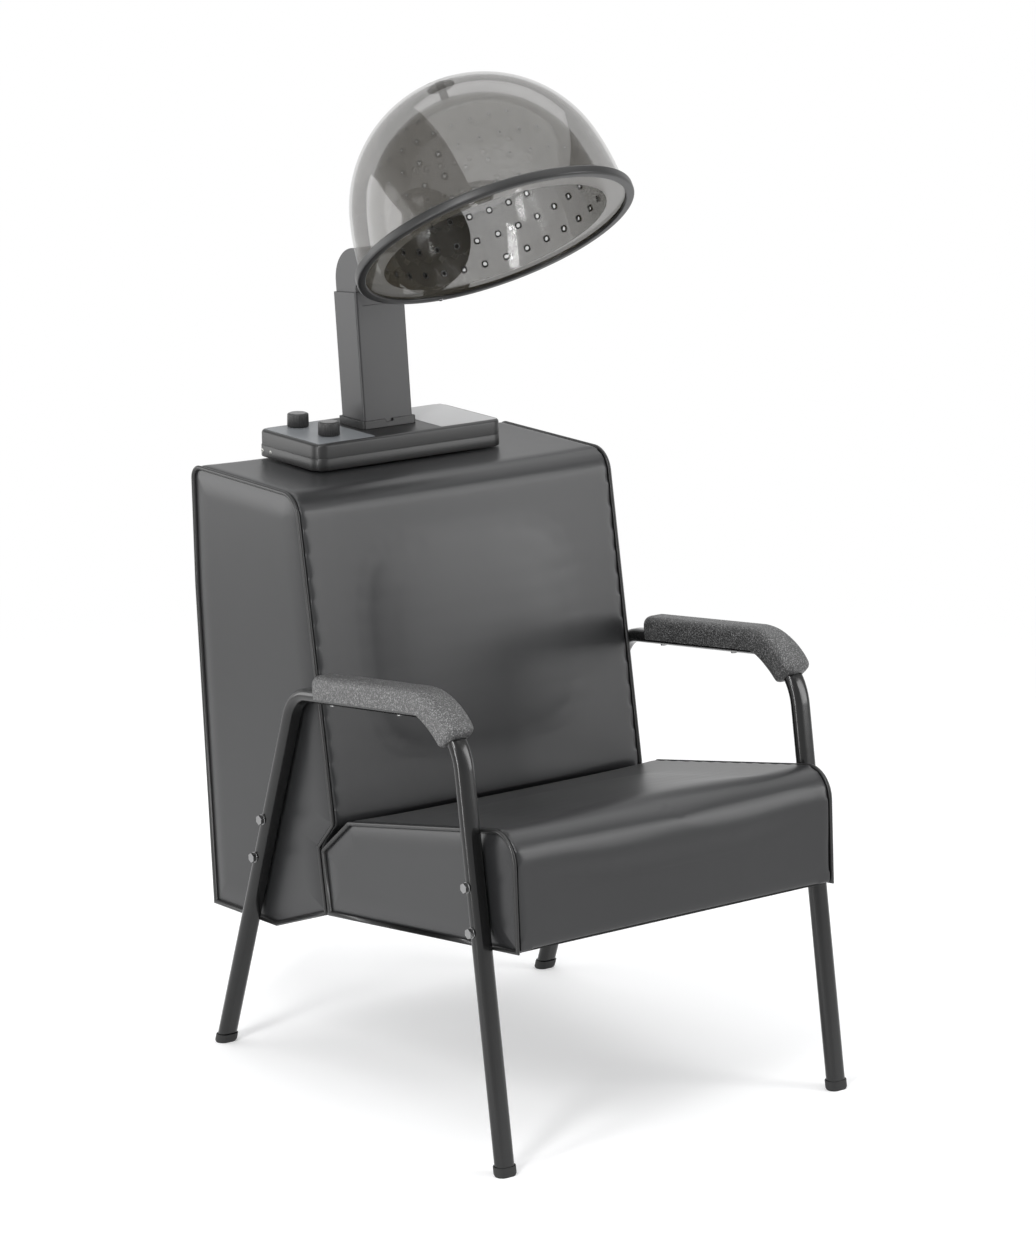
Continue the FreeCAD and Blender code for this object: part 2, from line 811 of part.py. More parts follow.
def make_seat():
    frame = side_prism(seat_frame_outline, (0, 0, 0, 0), -body_half_width, body_half_width)
    room = offset_corners(seat_frame_outline, (-board_thickness, -seat_board_thickness, -board_thickness, overrun))
    frame = frame.cut(side_prism(room, (0, 0, 0, 0), board_thickness - body_half_width,
                                 body_half_width - board_thickness))
    frame = cut_by(frame, bolt_holes(bolt_radius + hole_gap) + joint_bolts(joint_bolt_radius + hole_gap, overrun))
    keep("seat_frame", frame)

    padded = offset_corners(seat_frame_sheet, (seat_gap, seat_gap, seat_gap, 0))
    foot_line = (seat_front_foot, seat_rear_foot)
    outline = list(seat_outline) + [crossing(padded[2], padded[3], *foot_line), padded[2], padded[1],
                                    crossing(padded[0], padded[1], *foot_line)]
    radii = list(seat_radii[:4]) + [0, 0, 0, 0, 0]
    radii[0] = 0
    moves = (0.4, 1, 0, 0, 0, 0, 0, 0, 0)
    cushion = crowned(outline, radii, moves, seat_crown)
    keep("seat_cushion", cut_by(cushion, joint_bolts(joint_bolt_radius + hole_gap, overrun)))

    panel = side_panel(seat_outline, seat_radii)
    piping = welt(inset(seat_outline, welt_radius), inset_radii(seat_radii, welt_radius))
    for name, shape in (("seat_side", panel), ("seat_piping", piping)):
        keep(name + "_right", shape)
        keep(name + "_left", mirrored(shape))
    sheet = (seat_sheet_front, seat_frame_outline[0], seat_frame_outline[3], seat_sheet_rear)
    keep("seat_underside_cover", side_prism(sheet, (0, 0, 0, 0), -body_half_width, body_half_width))


make_seat()

# Where the blower's outlet goes up into the column

base_middle = (0.0, base_front_y + base_depth / 2)
tray_level = back_top_height
cover_level = tray_level + tray_height
plate_level = cover_level + cover_height
lean = math.radians(column_lean)
column_foot = point(0, base_front_y + column_setback, plate_level)
column_axis = point(0, math.sin(lean), math.cos(lean))
sleeve_top = column_foot + column_axis * column_length
floor_level = tray_level + base_wall
floor_distance = (sleeve_top.z - floor_level) / math.cos(lean)
column_floor = sleeve_top - column_axis * floor_distance
outlet_rear_y = column_floor.y + (column_depth / 2 - column_wall) / math.cos(lean) - outlet_rear_gap
outlet_front_y = outlet_rear_y - outlet_depth
blower_y = outlet_rear_y - scroll_start_radius - 3 * scroll_growth
blower_z = back_top_height - blower_drop


def outlet_block(extra, low, high):
    """The outlet duct's outside, grown by an extra all round."""
    return box((-scroll_width / 2 - extra, outlet_front_y - extra, low),
               (scroll_width / 2 + extra, outlet_rear_y + extra, high))


def rear_direction():
    """Up along the upper rear face of the back."""
    return point(0, back_top_rear_y - back_kink_y, back_kink_drop).normalize()


def on_rear_face(shape):
    """Move a shape drawn about the origin, its back along +Y, onto the rear panel at the grille's middle."""
    height = back_top_height - grille_drop
    base = at_height(back_kink, back_top_rear, height)
    upright = rear_direction()
    return placed(shape, math.degrees(math.atan2(upright.y, upright.z)), point(0, *base))


def upright_prism(width, height, radius, low_y, high_y):
    """A rounded rectangle seen from behind, extruded along Y."""
    face = Part.Face(plan_wire(width, height, radius, (0, 0), 0))
    face.rotate(point(0, 0, 0), point(1, 0, 0), 90)
    face.translate(point(0, high_y, 0))
    return outward(face.extrude(point(0, low_y - high_y, 0)))


def make_back():
    frame = side_prism(back_frame_outline, [0] * 6, -body_half_width, body_half_width)
    room = offset_corners(back_frame_outline, (-board_thickness, -board_thickness, overrun, overrun,
                                               -board_thickness, -board_thickness))
    frame = frame.cut(side_prism(room, [0] * 6, board_thickness - body_half_width,
                                 body_half_width - board_thickness))
    frame = cut_by(frame, bolt_holes(bolt_radius + hole_gap) + joint_bolts(joint_bolt_radius + hole_gap, overrun))
    duct = outlet_block(seat_gap, back_top_height - overrun * 3, back_top_height + overrun)
    keep("back_frame", frame.cut(duct))

    strip_level = back_top_height - back_strip_drop
    strip_edge = at_height(back_kink, back_top_rear, strip_level)
    strip_inner = at_height(back_frame_outline[3], back_frame_outline[2], strip_level)
    padded = offset_corners(back_frame_outline, (seat_gap, seat_gap, seat_gap, 0, 0, 0))
    strip_corner = crossing(strip_edge, strip_inner, padded[2], padded[3])
    foot = crossing(padded[0], padded[1], back_base, back_foot)
    outline = list(back_outline[:5]) + [strip_edge, strip_corner, padded[2], padded[1], foot]
    radii = (0, least_radius, lip_radius, top_front_radius, top_rear_radius, 0, 0, 0, 0, 0)
    moves = (0, 0, 1, 0, 0, 0, 0, 0, 0, 0)
    cushion = crowned(outline, radii, moves, back_crown).cut(duct)
    keep("back_cushion", cut_by(cushion, joint_bolts(joint_bolt_radius + hole_gap, overrun)))

    panel_top = strip_level - seat_gap
    rear_outline = (at_height(back_kink, back_top_rear, panel_top), back_kink, back_base_rear,
                    back_sheet_outline[4], back_frame_outline[3],
                    at_height(back_frame_outline[3], back_frame_outline[2], panel_top))
    panel = side_prism(rear_outline, [0] * 6, -body_half_width, body_half_width)
    opening = on_rear_face(upright_prism(grille_width - 2 * grille_flange, grille_height - 2 * grille_flange,
                                         grille_corner / 2, -overrun * 2, overrun))
    gland_place = point(0, *at_height(back_base_rear, back_kink, gland_height))
    gland_axis = point(0, back_kink[1] - back_base_rear_height,
                       -(back_kink_y - back_base_rear_y)).normalize()
    bushing = polygon_prism(gland_radius - gland_flange, small_sides, back_padding + gland_flange,
                            gland_place - gland_axis * back_padding, gland_axis)
    flange = polygon_prism(gland_radius, small_sides, gland_flange, gland_place, gland_axis)
    bore = cylinder_between(gland_bore, gland_place - gland_axis * overrun, gland_place + gland_axis * overrun)
    gland_hole = cylinder_between(gland_radius - gland_flange + hole_gap, gland_place - gland_axis * overrun,
                                  gland_place + gland_axis * overrun)
    keep("cable_gland", fused([bushing, flange]).cut(bore))
    keep("back_rear_panel", cut_by(panel, [opening, gland_hole]))

    side = side_panel(back_outline, back_radii)
    piping = welt(inset(back_outline, welt_radius)[:7], inset_radii(back_radii, welt_radius)[:7])
    for name, shape in (("back_side", side), ("back_piping", piping)):
        keep(name + "_right", shape)
        keep(name + "_left", mirrored(shape))
    sheet = (back_sheet_outline[4], back_sheet_outline[5], back_sheet_outline[0],
             back_frame_outline[0], back_frame_outline[5], back_frame_outline[4])
    keep("back_underside_cover", side_prism(sheet, [0] * 6, -body_half_width, body_half_width))


def make_grille():
    """A flanged plate of level slots over the filter."""
    plate = upright_prism(grille_width, grille_height, grille_corner, 0, grille_thickness)
    inner_width = grille_width - 4 * grille_flange
    inner_height = grille_height - 4 * grille_flange
    pitch = (inner_height - grille_slot) / (grille_slot_count - 1)
    for index in range(grille_slot_count):
        middle = grille_slot / 2 + pitch * index - inner_height / 2
        for side in (-1, 1):
            slot = box((min(side * grille_slot, side * inner_width / 2), -overrun, middle - grille_slot / 2),
                       (max(side * grille_slot, side * inner_width / 2), overrun, middle + grille_slot / 2))
            plate = plate.cut(slot)
    keep("intake_grille", on_rear_face(plate))
    room = 2 * (grille_flange + seat_gap)
    pad = upright_prism(grille_width - room, grille_height - room, grille_corner / 2, -filter_thickness, 0)
    keep("air_filter", on_rear_face(pad))


def make_bolts():
    bolts = []
    washers = []
    for middle, side in bolt_places():
        out = point(side, 0, 0)
        seat = middle + out * (tube_width / 2 + washer_thickness)
        inner = middle - out * (half_spacing - body_half_width + board_thickness)
        head = hexagon_prism(bolt_head_width, bolt_head_height, seat, out)
        bolts.append(fused([cylinder_between(bolt_radius, inner, seat), head]))
        washer = polygon_prism(washer_radius, small_sides, washer_thickness, seat - out * washer_thickness, out)
        washers.append(washer.cut(cylinder_between(bolt_radius + hole_gap, inner, seat + out * overrun)))
    keep("frame_bolts", group(bolts))
    keep("frame_washers", group(washers))

    middle, direction = joint_bolt_line()
    reach = joint_gap + board_thickness
    pairs = []
    for side in (-1, 1):
        base = middle + point(side * joint_bolt_spacing / 2, 0, 0)
        seat = base - direction * board_thickness
        far = base + direction * reach
        shank = cylinder_between(bolt_radius, seat, far + direction * joint_bolt_head_height)
        head = hexagon_prism(joint_bolt_head_width, joint_bolt_head_height,
                             seat - direction * joint_bolt_head_height, direction)
        nut = hexagon_prism(joint_bolt_head_width, joint_bolt_head_height, far, direction)
        pairs.append(fused([shank, head, nut]))
    keep("seat_back_bolts", group(pairs))


make_back()
make_grille()
make_bolts()


# Blower, motor and heater

blower_axis = point(0, blower_y, blower_z)


def scroll_wire(margin, top, x):
    """The scroll's outline at an inset: three growing quarter arcs and the outlet duct, in the side view."""
    edges = []
    centre = point(x, blower_y, blower_z)
    radius = scroll_start_radius - margin
    start = centre + point(0, 0, radius)
    first = start
    arm = point(0, 0, 1)
    for quarter in range(3):
        half = FreeCAD.Rotation(point(1, 0, 0), 45).multVec(arm)
        end_arm = FreeCAD.Rotation(point(1, 0, 0), 90).multVec(arm)
        end = centre + end_arm * radius
        edges.append(Part.Arc(start, centre + half * radius, end).toShape())
        centre = centre - end_arm * scroll_growth
        radius += scroll_growth
        start = end
        arm = end_arm
    inner_y = outlet_front_y + margin
    corners = [start, point(x, start.y, top), point(x, inner_y, top), point(x, inner_y, first.z), first]
    for low, high in zip(corners, corners[1:]):
        edges.append(Part.makeLine(low, high))
    return Part.Wire(edges)


def scroll_solid(margin, top, half_width):
    face = Part.Face(scroll_wire(margin, top, -half_width))
    return outward(face.extrude(point(2 * half_width, 0, 0)))


def rod_along_x(radius, low_x, high_x):
    return cylinder(radius, high_x - low_x, blower_axis + point(low_x, 0, 0), point(1, 0, 0))


def make_blower():
    half = scroll_width / 2
    housing = scroll_solid(0, tray_level, half)
    room = scroll_solid(scroll_wall, tray_level + overrun, half - scroll_wall)
    inlet = rod_along_x(inlet_radius, 0, half + overrun)
    boss_hole = rod_along_x(motor_boss_radius + hole_gap, -half - overrun, 0)
    keep("blower_housing", cut_by(housing, [room, inlet, boss_hole]))

    case = polygon_prism(motor_radius, motor_sides, motor_length, blower_axis - point(half + motor_length, 0, 0),
                         point(1, 0, 0))
    motor = fused([case,
                   rod_along_x(motor_boss_radius, -half, -half + scroll_wall)])
    bore = rod_along_x(shaft_radius + running_gap, -half - shaft_grip, 0)
    keep("blower_motor", motor.cut(bore))

    low = -impeller_width / 2
    high = impeller_width / 2
    blades = []
    middle_radius = impeller_radius - blade_depth / 2
    for index in range(impeller_blades):
        blade = box((low, -blade_thickness / 2, -blade_depth / 2), (high, blade_thickness / 2, blade_depth / 2))
        blade.rotate(point(0, 0, 0), point(1, 0, 0), blade_angle)
        blade.translate(point(0, 0, middle_radius))
        blade.rotate(point(0, 0, 0), point(1, 0, 0), 360 * index / impeller_blades)
        blade.translate(blower_axis)
        blades.append(blade)
    disc = rod_along_x(impeller_radius, low - impeller_disc, low)
    ring = rod_along_x(impeller_radius, high, high + impeller_disc)
    ring = ring.cut(rod_along_x(impeller_radius - blade_depth, high - overrun, high + overrun))
    hub = rod_along_x(hub_radius, low, low + hub_radius)
    shaft = rod_along_x(shaft_radius, -half - shaft_grip + hole_gap, low)
    keep("impeller", fused([disc, ring, hub, shaft] + blades))

    low_z = blower_z + scroll_start_radius + heater_lift
    front = outlet_front_y + scroll_wall + seat_gap
    rear = outlet_rear_y - scroll_wall - seat_gap
    plate_x = half - scroll_wall - seat_gap
    pieces = []
    for side in (-1, 1):
        pieces.append(box((min(side * plate_x, side * (plate_x - heater_plate)), front, low_z),
                          (max(side * plate_x, side * (plate_x - heater_plate)), rear, low_z + heater_height)))
    pitch = heater_height / heater_rods
    for index in range(heater_rods):
        share = (index % 2 + 1) / 3
        start = point(heater_plate - plate_x, front + (rear - front) * share, low_z + pitch * (index + 1 / 2))
        pieces.append(cylinder(heater_rod_radius, 2 * (plate_x - heater_plate), start, point(1, 0, 0)))
    keep("heater_element", fused(pieces))


make_blower()

# Control base


def plate_middle(side):
    return (side * (base_width / 2 - plate_side_margin - plate_width / 2), base_middle[1])


def knob_places():
    x = knob_x_margin - base_width / 2
    rear = base_front_y + base_depth - knob_rear_margin
    return ((x, rear), (x, rear - knob_spacing))


def sleeve_block(extra, low, high):
    """The column sleeve's outside, leaning, grown by an extra all round; low and high along its axis."""
    block = plan_prism(column_width + 2 * extra, column_depth + 2 * extra, column_corner_radius, (0, 0), low, high)
    return placed(block, column_lean, sleeve_top)


def make_base():
    low_size = (base_width - 2 * base_draft, base_depth - 2 * base_draft)
    foot = plan_wire(*low_size, base_corner_radius - base_draft, base_middle, tray_level)
    top = plan_wire(base_width, base_depth, base_corner_radius, base_middle, cover_level)
    tray = loft([foot, top])
    wall = 2 * base_wall
    room = loft([plan_wire(low_size[0] - wall, low_size[1] - wall, base_corner_radius - base_draft - base_wall,
                           base_middle, floor_level),
                 plan_wire(base_width - wall, base_depth - wall, base_corner_radius - base_wall,
                           base_middle, cover_level)])
    tray = tray.cut(room).cut(outlet_block(-scroll_wall, tray_level - overrun, tray_level + overrun / 2))
    keep("base_tray", tray)

    sections = [plan_wire(base_width - 2 * seam_step, base_depth - 2 * seam_step, base_corner_radius - seam_step,
                          base_middle, cover_level)]
    for angle in (0, 30, 60, 90):
        turn = math.radians(angle)
        drawn_in = seam_step + base_edge_radius * (1 - math.cos(turn))
        level = plate_level - base_edge_radius * (1 - math.sin(turn))
        sections.append(plan_wire(base_width - 2 * drawn_in, base_depth - 2 * drawn_in,
                                  base_corner_radius - drawn_in, base_middle, level))
    cover = loft(sections)
    thick = 2 * (seam_step + base_wall)
    cover = cover.cut(plan_prism(base_width - thick, base_depth - thick, base_corner_radius - thick / 2,
                                 base_middle, cover_level - overrun, plate_level - base_wall))
    cover = cover.cut(sleeve_block(seat_gap, -column_length - overrun * 3, 0))
    for name, side in (("control_plate", -1), ("side_plate", 1)):
        low = plate_level - plate_recess
        plate = plan_prism(plate_width, plate_depth, plate_corner_radius, plate_middle(side), low,
                           low + plate_thickness)
        recess = plan_prism(plate_width + 2 * seat_gap, plate_depth + 2 * seat_gap, plate_corner_radius,
                            plate_middle(side), low, low + overrun)
        cover = cover.cut(recess)
        if side < 0:
            for x, y in knob_places():
                rod = cylinder(spindle_radius + hole_gap, overrun * 2, point(x, y, low - overrun), point(0, 0, 1))
                plate = plate.cut(rod)
                cover = cover.cut(rod)
        keep(name, plate)
    keep("base_cover", cover)


def make_knob(name, place, body_side, body_height, body_name):
    """A fluted knob with a light cap on a spindle, and the box under the plate that it turns in."""
    x, y = place
    up = point(0, 0, 1)
    face_level = plate_level - plate_recess + plate_thickness
    foot = face_level + knob_lift
    sections = []
    for level, radius in ((foot, knob_radius), (foot + knob_height, knob_radius - knob_draft)):
        corners = []
        for index in range(2 * knob_flutes):
            reach = radius - knob_flute_depth * (index % 2)
            turn = math.pi * index / knob_flutes
            corners.append(point(x + reach * math.cos(turn), y + reach * math.sin(turn), level))
        sections.append(corners)
    knob = flat_loft(sections)
    grip = foot + spindle_grip
    spindle_low = plate_level - spindle_depth
    bore = cylinder(spindle_radius + running_gap, grip - foot + overrun, point(x, y, foot - overrun), up)
    keep(name + "_knob", knob.cut(bore))
    keep(name + "_knob_cap", polygon_prism(knob_cap_radius, knob_flutes, knob_cap_height,
                                           point(x, y, foot + knob_height), up))
    keep(name + "_spindle", cylinder(spindle_radius, grip - spindle_low, point(x, y, spindle_low), up))
    top = plate_level - base_wall
    body = plan_prism(body_side, body_side, least_radius, place, top - body_height, top)
    keep(body_name, body.cut(cylinder(spindle_radius + running_gap, overrun * 2,
                                      point(x, y, spindle_low - hole_gap), up)))


make_base()
make_knob("timer", knob_places()[0], timer_side, timer_height, "timer_body")
make_knob("heat", knob_places()[1], switch_side, switch_height, "heat_switch")

# Column, collar and arm, drawn upright about the sleeve's top and then leaned back

arm_half_width = column_width / 2 - column_wall - slide_gap
arm_half_depth = column_depth / 2 - column_wall - slide_gap
arm_half_inner = arm_half_width - cheek_thickness
hinge_local = (-hinge_reach, hinge_rise)
hinge_point = placed(Part.Vertex(point(0, *hinge_local)), column_lean, sleeve_top).Point


def leaned(shape):
    return placed(shape, column_lean, sleeve_top)


def cross_rod(radius, place, low_x, high_x):
    """A rod across the chair, drawn before leaning."""
    return cylinder(radius, high_x - low_x, point(low_x, *place), point(1, 0, 0))


def make_column():
    below = box((-base_width, 0, -overrun), (base_width, base_front_y + base_depth + overrun, floor_level))
    sleeve = sleeve_block(0, -floor_distance - overrun, 0)
    bore = leaned(plan_prism(column_width - 2 * column_wall, column_depth - 2 * column_wall,
                             column_corner_radius - column_wall, (0, 0), -floor_distance - overrun * 2, overrun))
    front = -column_depth / 2
    window_top = -window_drop
    window = leaned(box((-window_width / 2, front - overrun, window_top - window_height),
                        (window_width / 2, front + window_recess, window_top)))
    keep("column_sleeve", cut_by(sleeve, [below, bore, window]))

    collar = sleeve_block(collar_wall, -column_length - overrun, -column_length + overrun * 2)
    slab = box((-column_width, 0, plate_level), (column_width, base_front_y + base_depth + overrun,
                                                plate_level + collar_height))
    hole = sleeve_block(seat_gap, -column_length - overrun * 2, overrun)
    notch = box((-collar_notch_width / 2, 0, plate_level + collar_height - collar_notch_depth),
                (collar_notch_width / 2, column_foot.y, plate_level + overrun))
    keep("column_collar", cut_by(collar.common(slab), [hole, notch]))


def arm_outline(margin, front, foot):
    """The arm's side view at an inset: up the column, round the elbow and forward to the hinge."""
    rear = arm_half_depth - margin
    bottom = arm_rise - arm_box_height + margin
    corners = ((-rear, foot), (rear, foot), (rear, arm_rise - margin), (front, arm_rise - margin),
               (front, bottom), (-rear, bottom))
    radii = (0, 0, arm_bend_radius - margin, 0, 0, arm_throat_radius + margin)
    return corners, radii


def make_arm():
    barrel_room = barrel_radius + barrel_clearance
    arm = side_prism(*arm_outline(0, -hinge_reach, -arm_insert), -arm_half_width, arm_half_width)
    arm = fused([arm, cross_rod(cheek_radius, hinge_local, -arm_half_width, arm_half_width)])
    inside = side_prism(*arm_outline(arm_wall, barrel_room + arm_wall - hinge_reach, -arm_insert - overrun),
                        arm_wall - arm_half_width, arm_half_width - arm_wall)
    fork = box((-arm_half_inner, -hinge_reach - overrun * 2, -overrun),
               (arm_half_inner, cheek_run - hinge_reach, arm_rise + overrun))
    seat = cross_rod(barrel_room, hinge_local, -arm_half_inner, arm_half_inner)
    port = box((-arm_port_width / 2, -hinge_reach, hinge_rise - arm_port_height / 2),
               (arm_port_width / 2, barrel_room + arm_wall * 2 - hinge_reach, hinge_rise + arm_port_height / 2))
    pin_hole = cross_rod(pin_radius + running_gap, hinge_local, -arm_half_width - overrun, arm_half_width + overrun)
    keep("arm_duct", leaned(cut_by(arm, [inside, fork, seat, port, pin_hole])))

    pin = cross_rod(pin_radius, hinge_local, -arm_half_width, arm_half_width)
    heads = [cross_rod(pin_head_radius, hinge_local, arm_half_width, arm_half_width + pin_head_height),
             cross_rod(pin_head_radius, hinge_local, -arm_half_width - pin_head_height, -arm_half_width)]
    keep("hinge_pin", leaned(fused([pin] + heads)))
    washers = []
    for side in (-1, 1):
        outer = side * (arm_half_inner - running_gap)
        inner = side * (arm_half_inner - running_gap - washer_plate)
        washer = cross_rod(friction_radius, hinge_local, min(inner, outer), max(inner, outer))
        washers.append(leaned(washer.cut(cross_rod(pin_radius + running_gap, hinge_local, -arm_half_width,
                                                   arm_half_width))))
    keep("friction_washers", group(washers))


make_column()
make_arm()

# Hood, drawn upright about the middle of the rim's underside and then tilted

tilt = math.radians(hood_tilt)
hood_origin = point(0, hinge_point.y - hood_reach * math.cos(tilt) - hood_hinge_level * math.sin(tilt),
                    hinge_point.z + hood_reach * math.sin(tilt) - hood_hinge_level * math.cos(tilt))


def tilted(shape):
    return placed(shape, hood_tilt, hood_origin)


def dome_arcs():
    """Radii of the dome's skirt arc and crown arc, tangent to each other, upright at the rim and level at the top."""
    height = dome_height - dome_level
    turn = math.radians(skirt_angle)
    spread = (1 - math.cos(turn)) / math.cos(turn)
    skirt = (height - (1 - math.sin(turn)) * dome_radius / math.cos(turn)) / \
            (math.sin(turn) - (1 - math.sin(turn)) * spread)
    crown = (dome_radius - skirt * (1 - math.cos(turn))) / math.cos(turn)
    return skirt, crown


def round_prism(radius, low, high):
    """A disc about the hood's axis, with the domes' number of flats."""
    return polygon_prism(radius, dome_sides, high - low, point(0, 0, low), point(0, 0, 1))


def dome_solid(offset, low):
    """Everything under the dome's outer face moved outward by an offset, down to a level."""
    skirt, crown = dome_arcs()
    turn = math.radians(skirt_angle)
    skirt_centre = (dome_radius - skirt, dome_level)
    crown_centre = (skirt_centre[0] + (skirt - crown) * math.cos(turn),
                    skirt_centre[1] + (skirt - crown) * math.sin(turn))
    last = math.pi / 2 - math.radians(crown_flat_angle)
    stations = [(skirt_centre, skirt, turn * step / skirt_steps) for step in range(skirt_steps)]
    stations += [(crown_centre, crown, turn + (last - turn) * step / crown_steps) for step in range(crown_steps + 1)]
    profile = [(centre[0] + (radius + offset) * math.cos(angle), centre[1] + (radius + offset) * math.sin(angle))
               for centre, radius, angle in stations]
    if dome_level - low > running_gap:
        profile.insert(0, (dome_radius + offset, low))
    return flat_loft([level_corners(radius, level, dome_sides) for radius, level in profile])


def ring_solid(inner, outer, low, high):
    return round_prism(outer, low, high).cut(round_prism(inner, low - overrun, high + overrun))


def rear_rod(radius, level, low_y, high_y):
    """A rod along the hood's own front-to-rear axis at a level."""
    return cylinder(radius, high_y - low_y, point(0, low_y, level), point(0, 1, 0))


def make_domes():
    stem_hole = polygon_prism(plug_stem_radius + seat_gap, small_sides, dome_height, point(0, 0, dome_height / 2),
                              point(0, 0, 1))
    outer = dome_solid(0, dome_level).cut(dome_solid(-dome_wall, dome_level - overrun))
    keep("outer_dome", tilted(cut_by(outer, [stem_hole, rear_rod(neck_bore, hood_hinge_level, 0, rim_radius)])))

    shell = dome_solid(-dome_spacing, flange_level).cut(dome_solid(-dome_spacing - inner_wall,
                                                                 flange_level - overrun))
    flange = ring_solid(dome_radius - dome_spacing - inner_wall, flange_radius, flange_level,
                        flange_level + inner_wall)
    holes = []
    for column in range(hole_columns):
        angle = math.radians(90 + 360 * (column + 1 / 2) / hole_columns)
        out = point(math.cos(angle), math.sin(angle), 0)
        for row in range(hole_rows):
            level = hole_first_level + hole_row_spacing * row
            base = point(0, 0, level) + out * (dome_radius / 2)
            holes.append(polygon_prism(hole_radius, hole_sides, dome_radius, base, out))
    keep("inner_dome", tilted(cut_by(fused([shell, flange]), holes)))


def make_rim():
    ledge = flange_level + inner_wall + seat_gap
    ring = ring_solid(rim_radius - rim_width, rim_radius, 0, rim_height)
    dome_room = dome_solid(seat_gap + hole_gap, ledge)
    slot = round_prism(flange_radius + seat_gap, flange_level, ledge)
    keep("rim_ring", tilted(cut_by(ring, [dome_room, slot])))


def shell_between(outer, inner):
    return dome_solid(outer, dome_level).cut(dome_solid(inner, dome_level - overrun))


def make_neck():
    half = arm_half_inner - washer_plate - 2 * running_gap
    barrel = cylinder(barrel_radius, 2 * half, point(-half, hood_reach, hood_hinge_level), point(1, 0, 0))
    face = Part.Face(plan_wire(neck_width, neck_height, neck_corner, (0, 0), 0))
    face.rotate(point(0, 0, 0), point(1, 0, 0), 90)
    face.translate(point(0, hood_reach, hood_hinge_level))
    duct = outward(face.extrude(point(0, -hood_reach / 2, 0)))
    collar = shell_between(seat_gap + neck_flange_thickness, seat_gap).common(
        rear_rod(neck_flange_radius, hood_hinge_level, 0, rim_radius * 2))
    neck = fused([barrel, duct, collar]).cut(dome_solid(seat_gap, dome_level))
    bore = rear_rod(neck_bore, hood_hinge_level, 0, rim_radius * 2)
    pin_bore = cylinder(pin_radius + running_gap, 4 * half, point(-2 * half, hood_reach, hood_hinge_level),
                        point(1, 0, 0))
    keep("hood_neck", tilted(cut_by(neck, [bore, pin_bore])))


def make_plenum():
    """A dark, flat case between the domes at the rear that spreads the warm air through ports on its rim."""
    far = dome_wall + seat_gap
    near = dome_spacing - seat_gap
    case = shell_between(-far, -near).common(rear_rod(plenum_radius, plenum_level, 0, rim_radius))
    room = shell_between(-far - plenum_wall, plenum_wall - near).common(
        rear_rod(plenum_radius - plenum_wall, plenum_level, 0, rim_radius))
    tools = [room, rear_rod(neck_bore, hood_hinge_level, rim_radius / 2, rim_radius).common(
        shell_between(0, -far - 2 * plenum_wall))]
    for index in range(plenum_port_count):
        port = box((-plenum_port_width / 2, 0, plenum_radius - 2 * plenum_wall),
                   (plenum_port_width / 2, rim_radius, plenum_radius + overrun))
        port.rotate(point(0, 0, 0), point(0, 1, 0), 360 * (index + 1 / 2) / plenum_port_count)
        port.translate(point(0, 0, plenum_level))
        tools.append(port.common(shell_between(-far - plenum_wall, plenum_wall - near)))
    keep("air_plenum", tilted(cut_by(case, tools)))


def make_plug():
    up = point(0, 0, 1)
    top = dome_height + plug_height
    disc = polygon_prism(plug_radius, dome_sides / 2, plug_height * 3, point(0, 0, top - plug_height * 3), up)
    stem_low = dome_height - dome_spacing + seat_gap
    stem = polygon_prism(plug_stem_radius, small_sides, top - stem_low, point(0, 0, stem_low), up)
    keep("crown_plug", tilted(fused([disc.cut(dome_solid(seat_gap, dome_level)), stem])))


make_domes()
make_rim()
make_neck()
make_plenum()
make_plug()


def write_parts():
    """Stand the chair on the floor with its origin under the middle of its outer box, and write every piece."""
    lows = []
    highs = []
    for shape in BODY.values():
        size = shape.optimalBoundingBox(False, False)
        lows.append(size.YMin)
        highs.append(size.YMax)
    shift = point(0, -(min(lows) + max(highs)) / 2, 0)
    for name, shape in sorted(BODY.items()):
        finished = moved(shape, shift)
        finished.exportStep("parts/" + name + ".step")
        print("%-22s solids %d valid %s volume %.0f" % (name, len(finished.Solids), finished.isValid(),
                                                        finished.Volume))
    print("shift %.4f" % shift.y)


write_parts()
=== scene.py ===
# %% [markdown]
# # A hooded dryer chair
# This notebook builds the looks of a salon chair with a dryer hood: two bent tube frames, a padded seat and a
# thick padded back that hides the blower, a control base, a leaning column and a smoked double dome.
# The solid model is already made, so each piece here either gives a solid part its finish or replaces it with
# a finer surface that fills the same space. Every surface is worked out with arrays of numbers.

# %% The frame of solid parts
import json
import math

import bmesh
import bpy
import numpy as np
from mathutils import Matrix, Vector

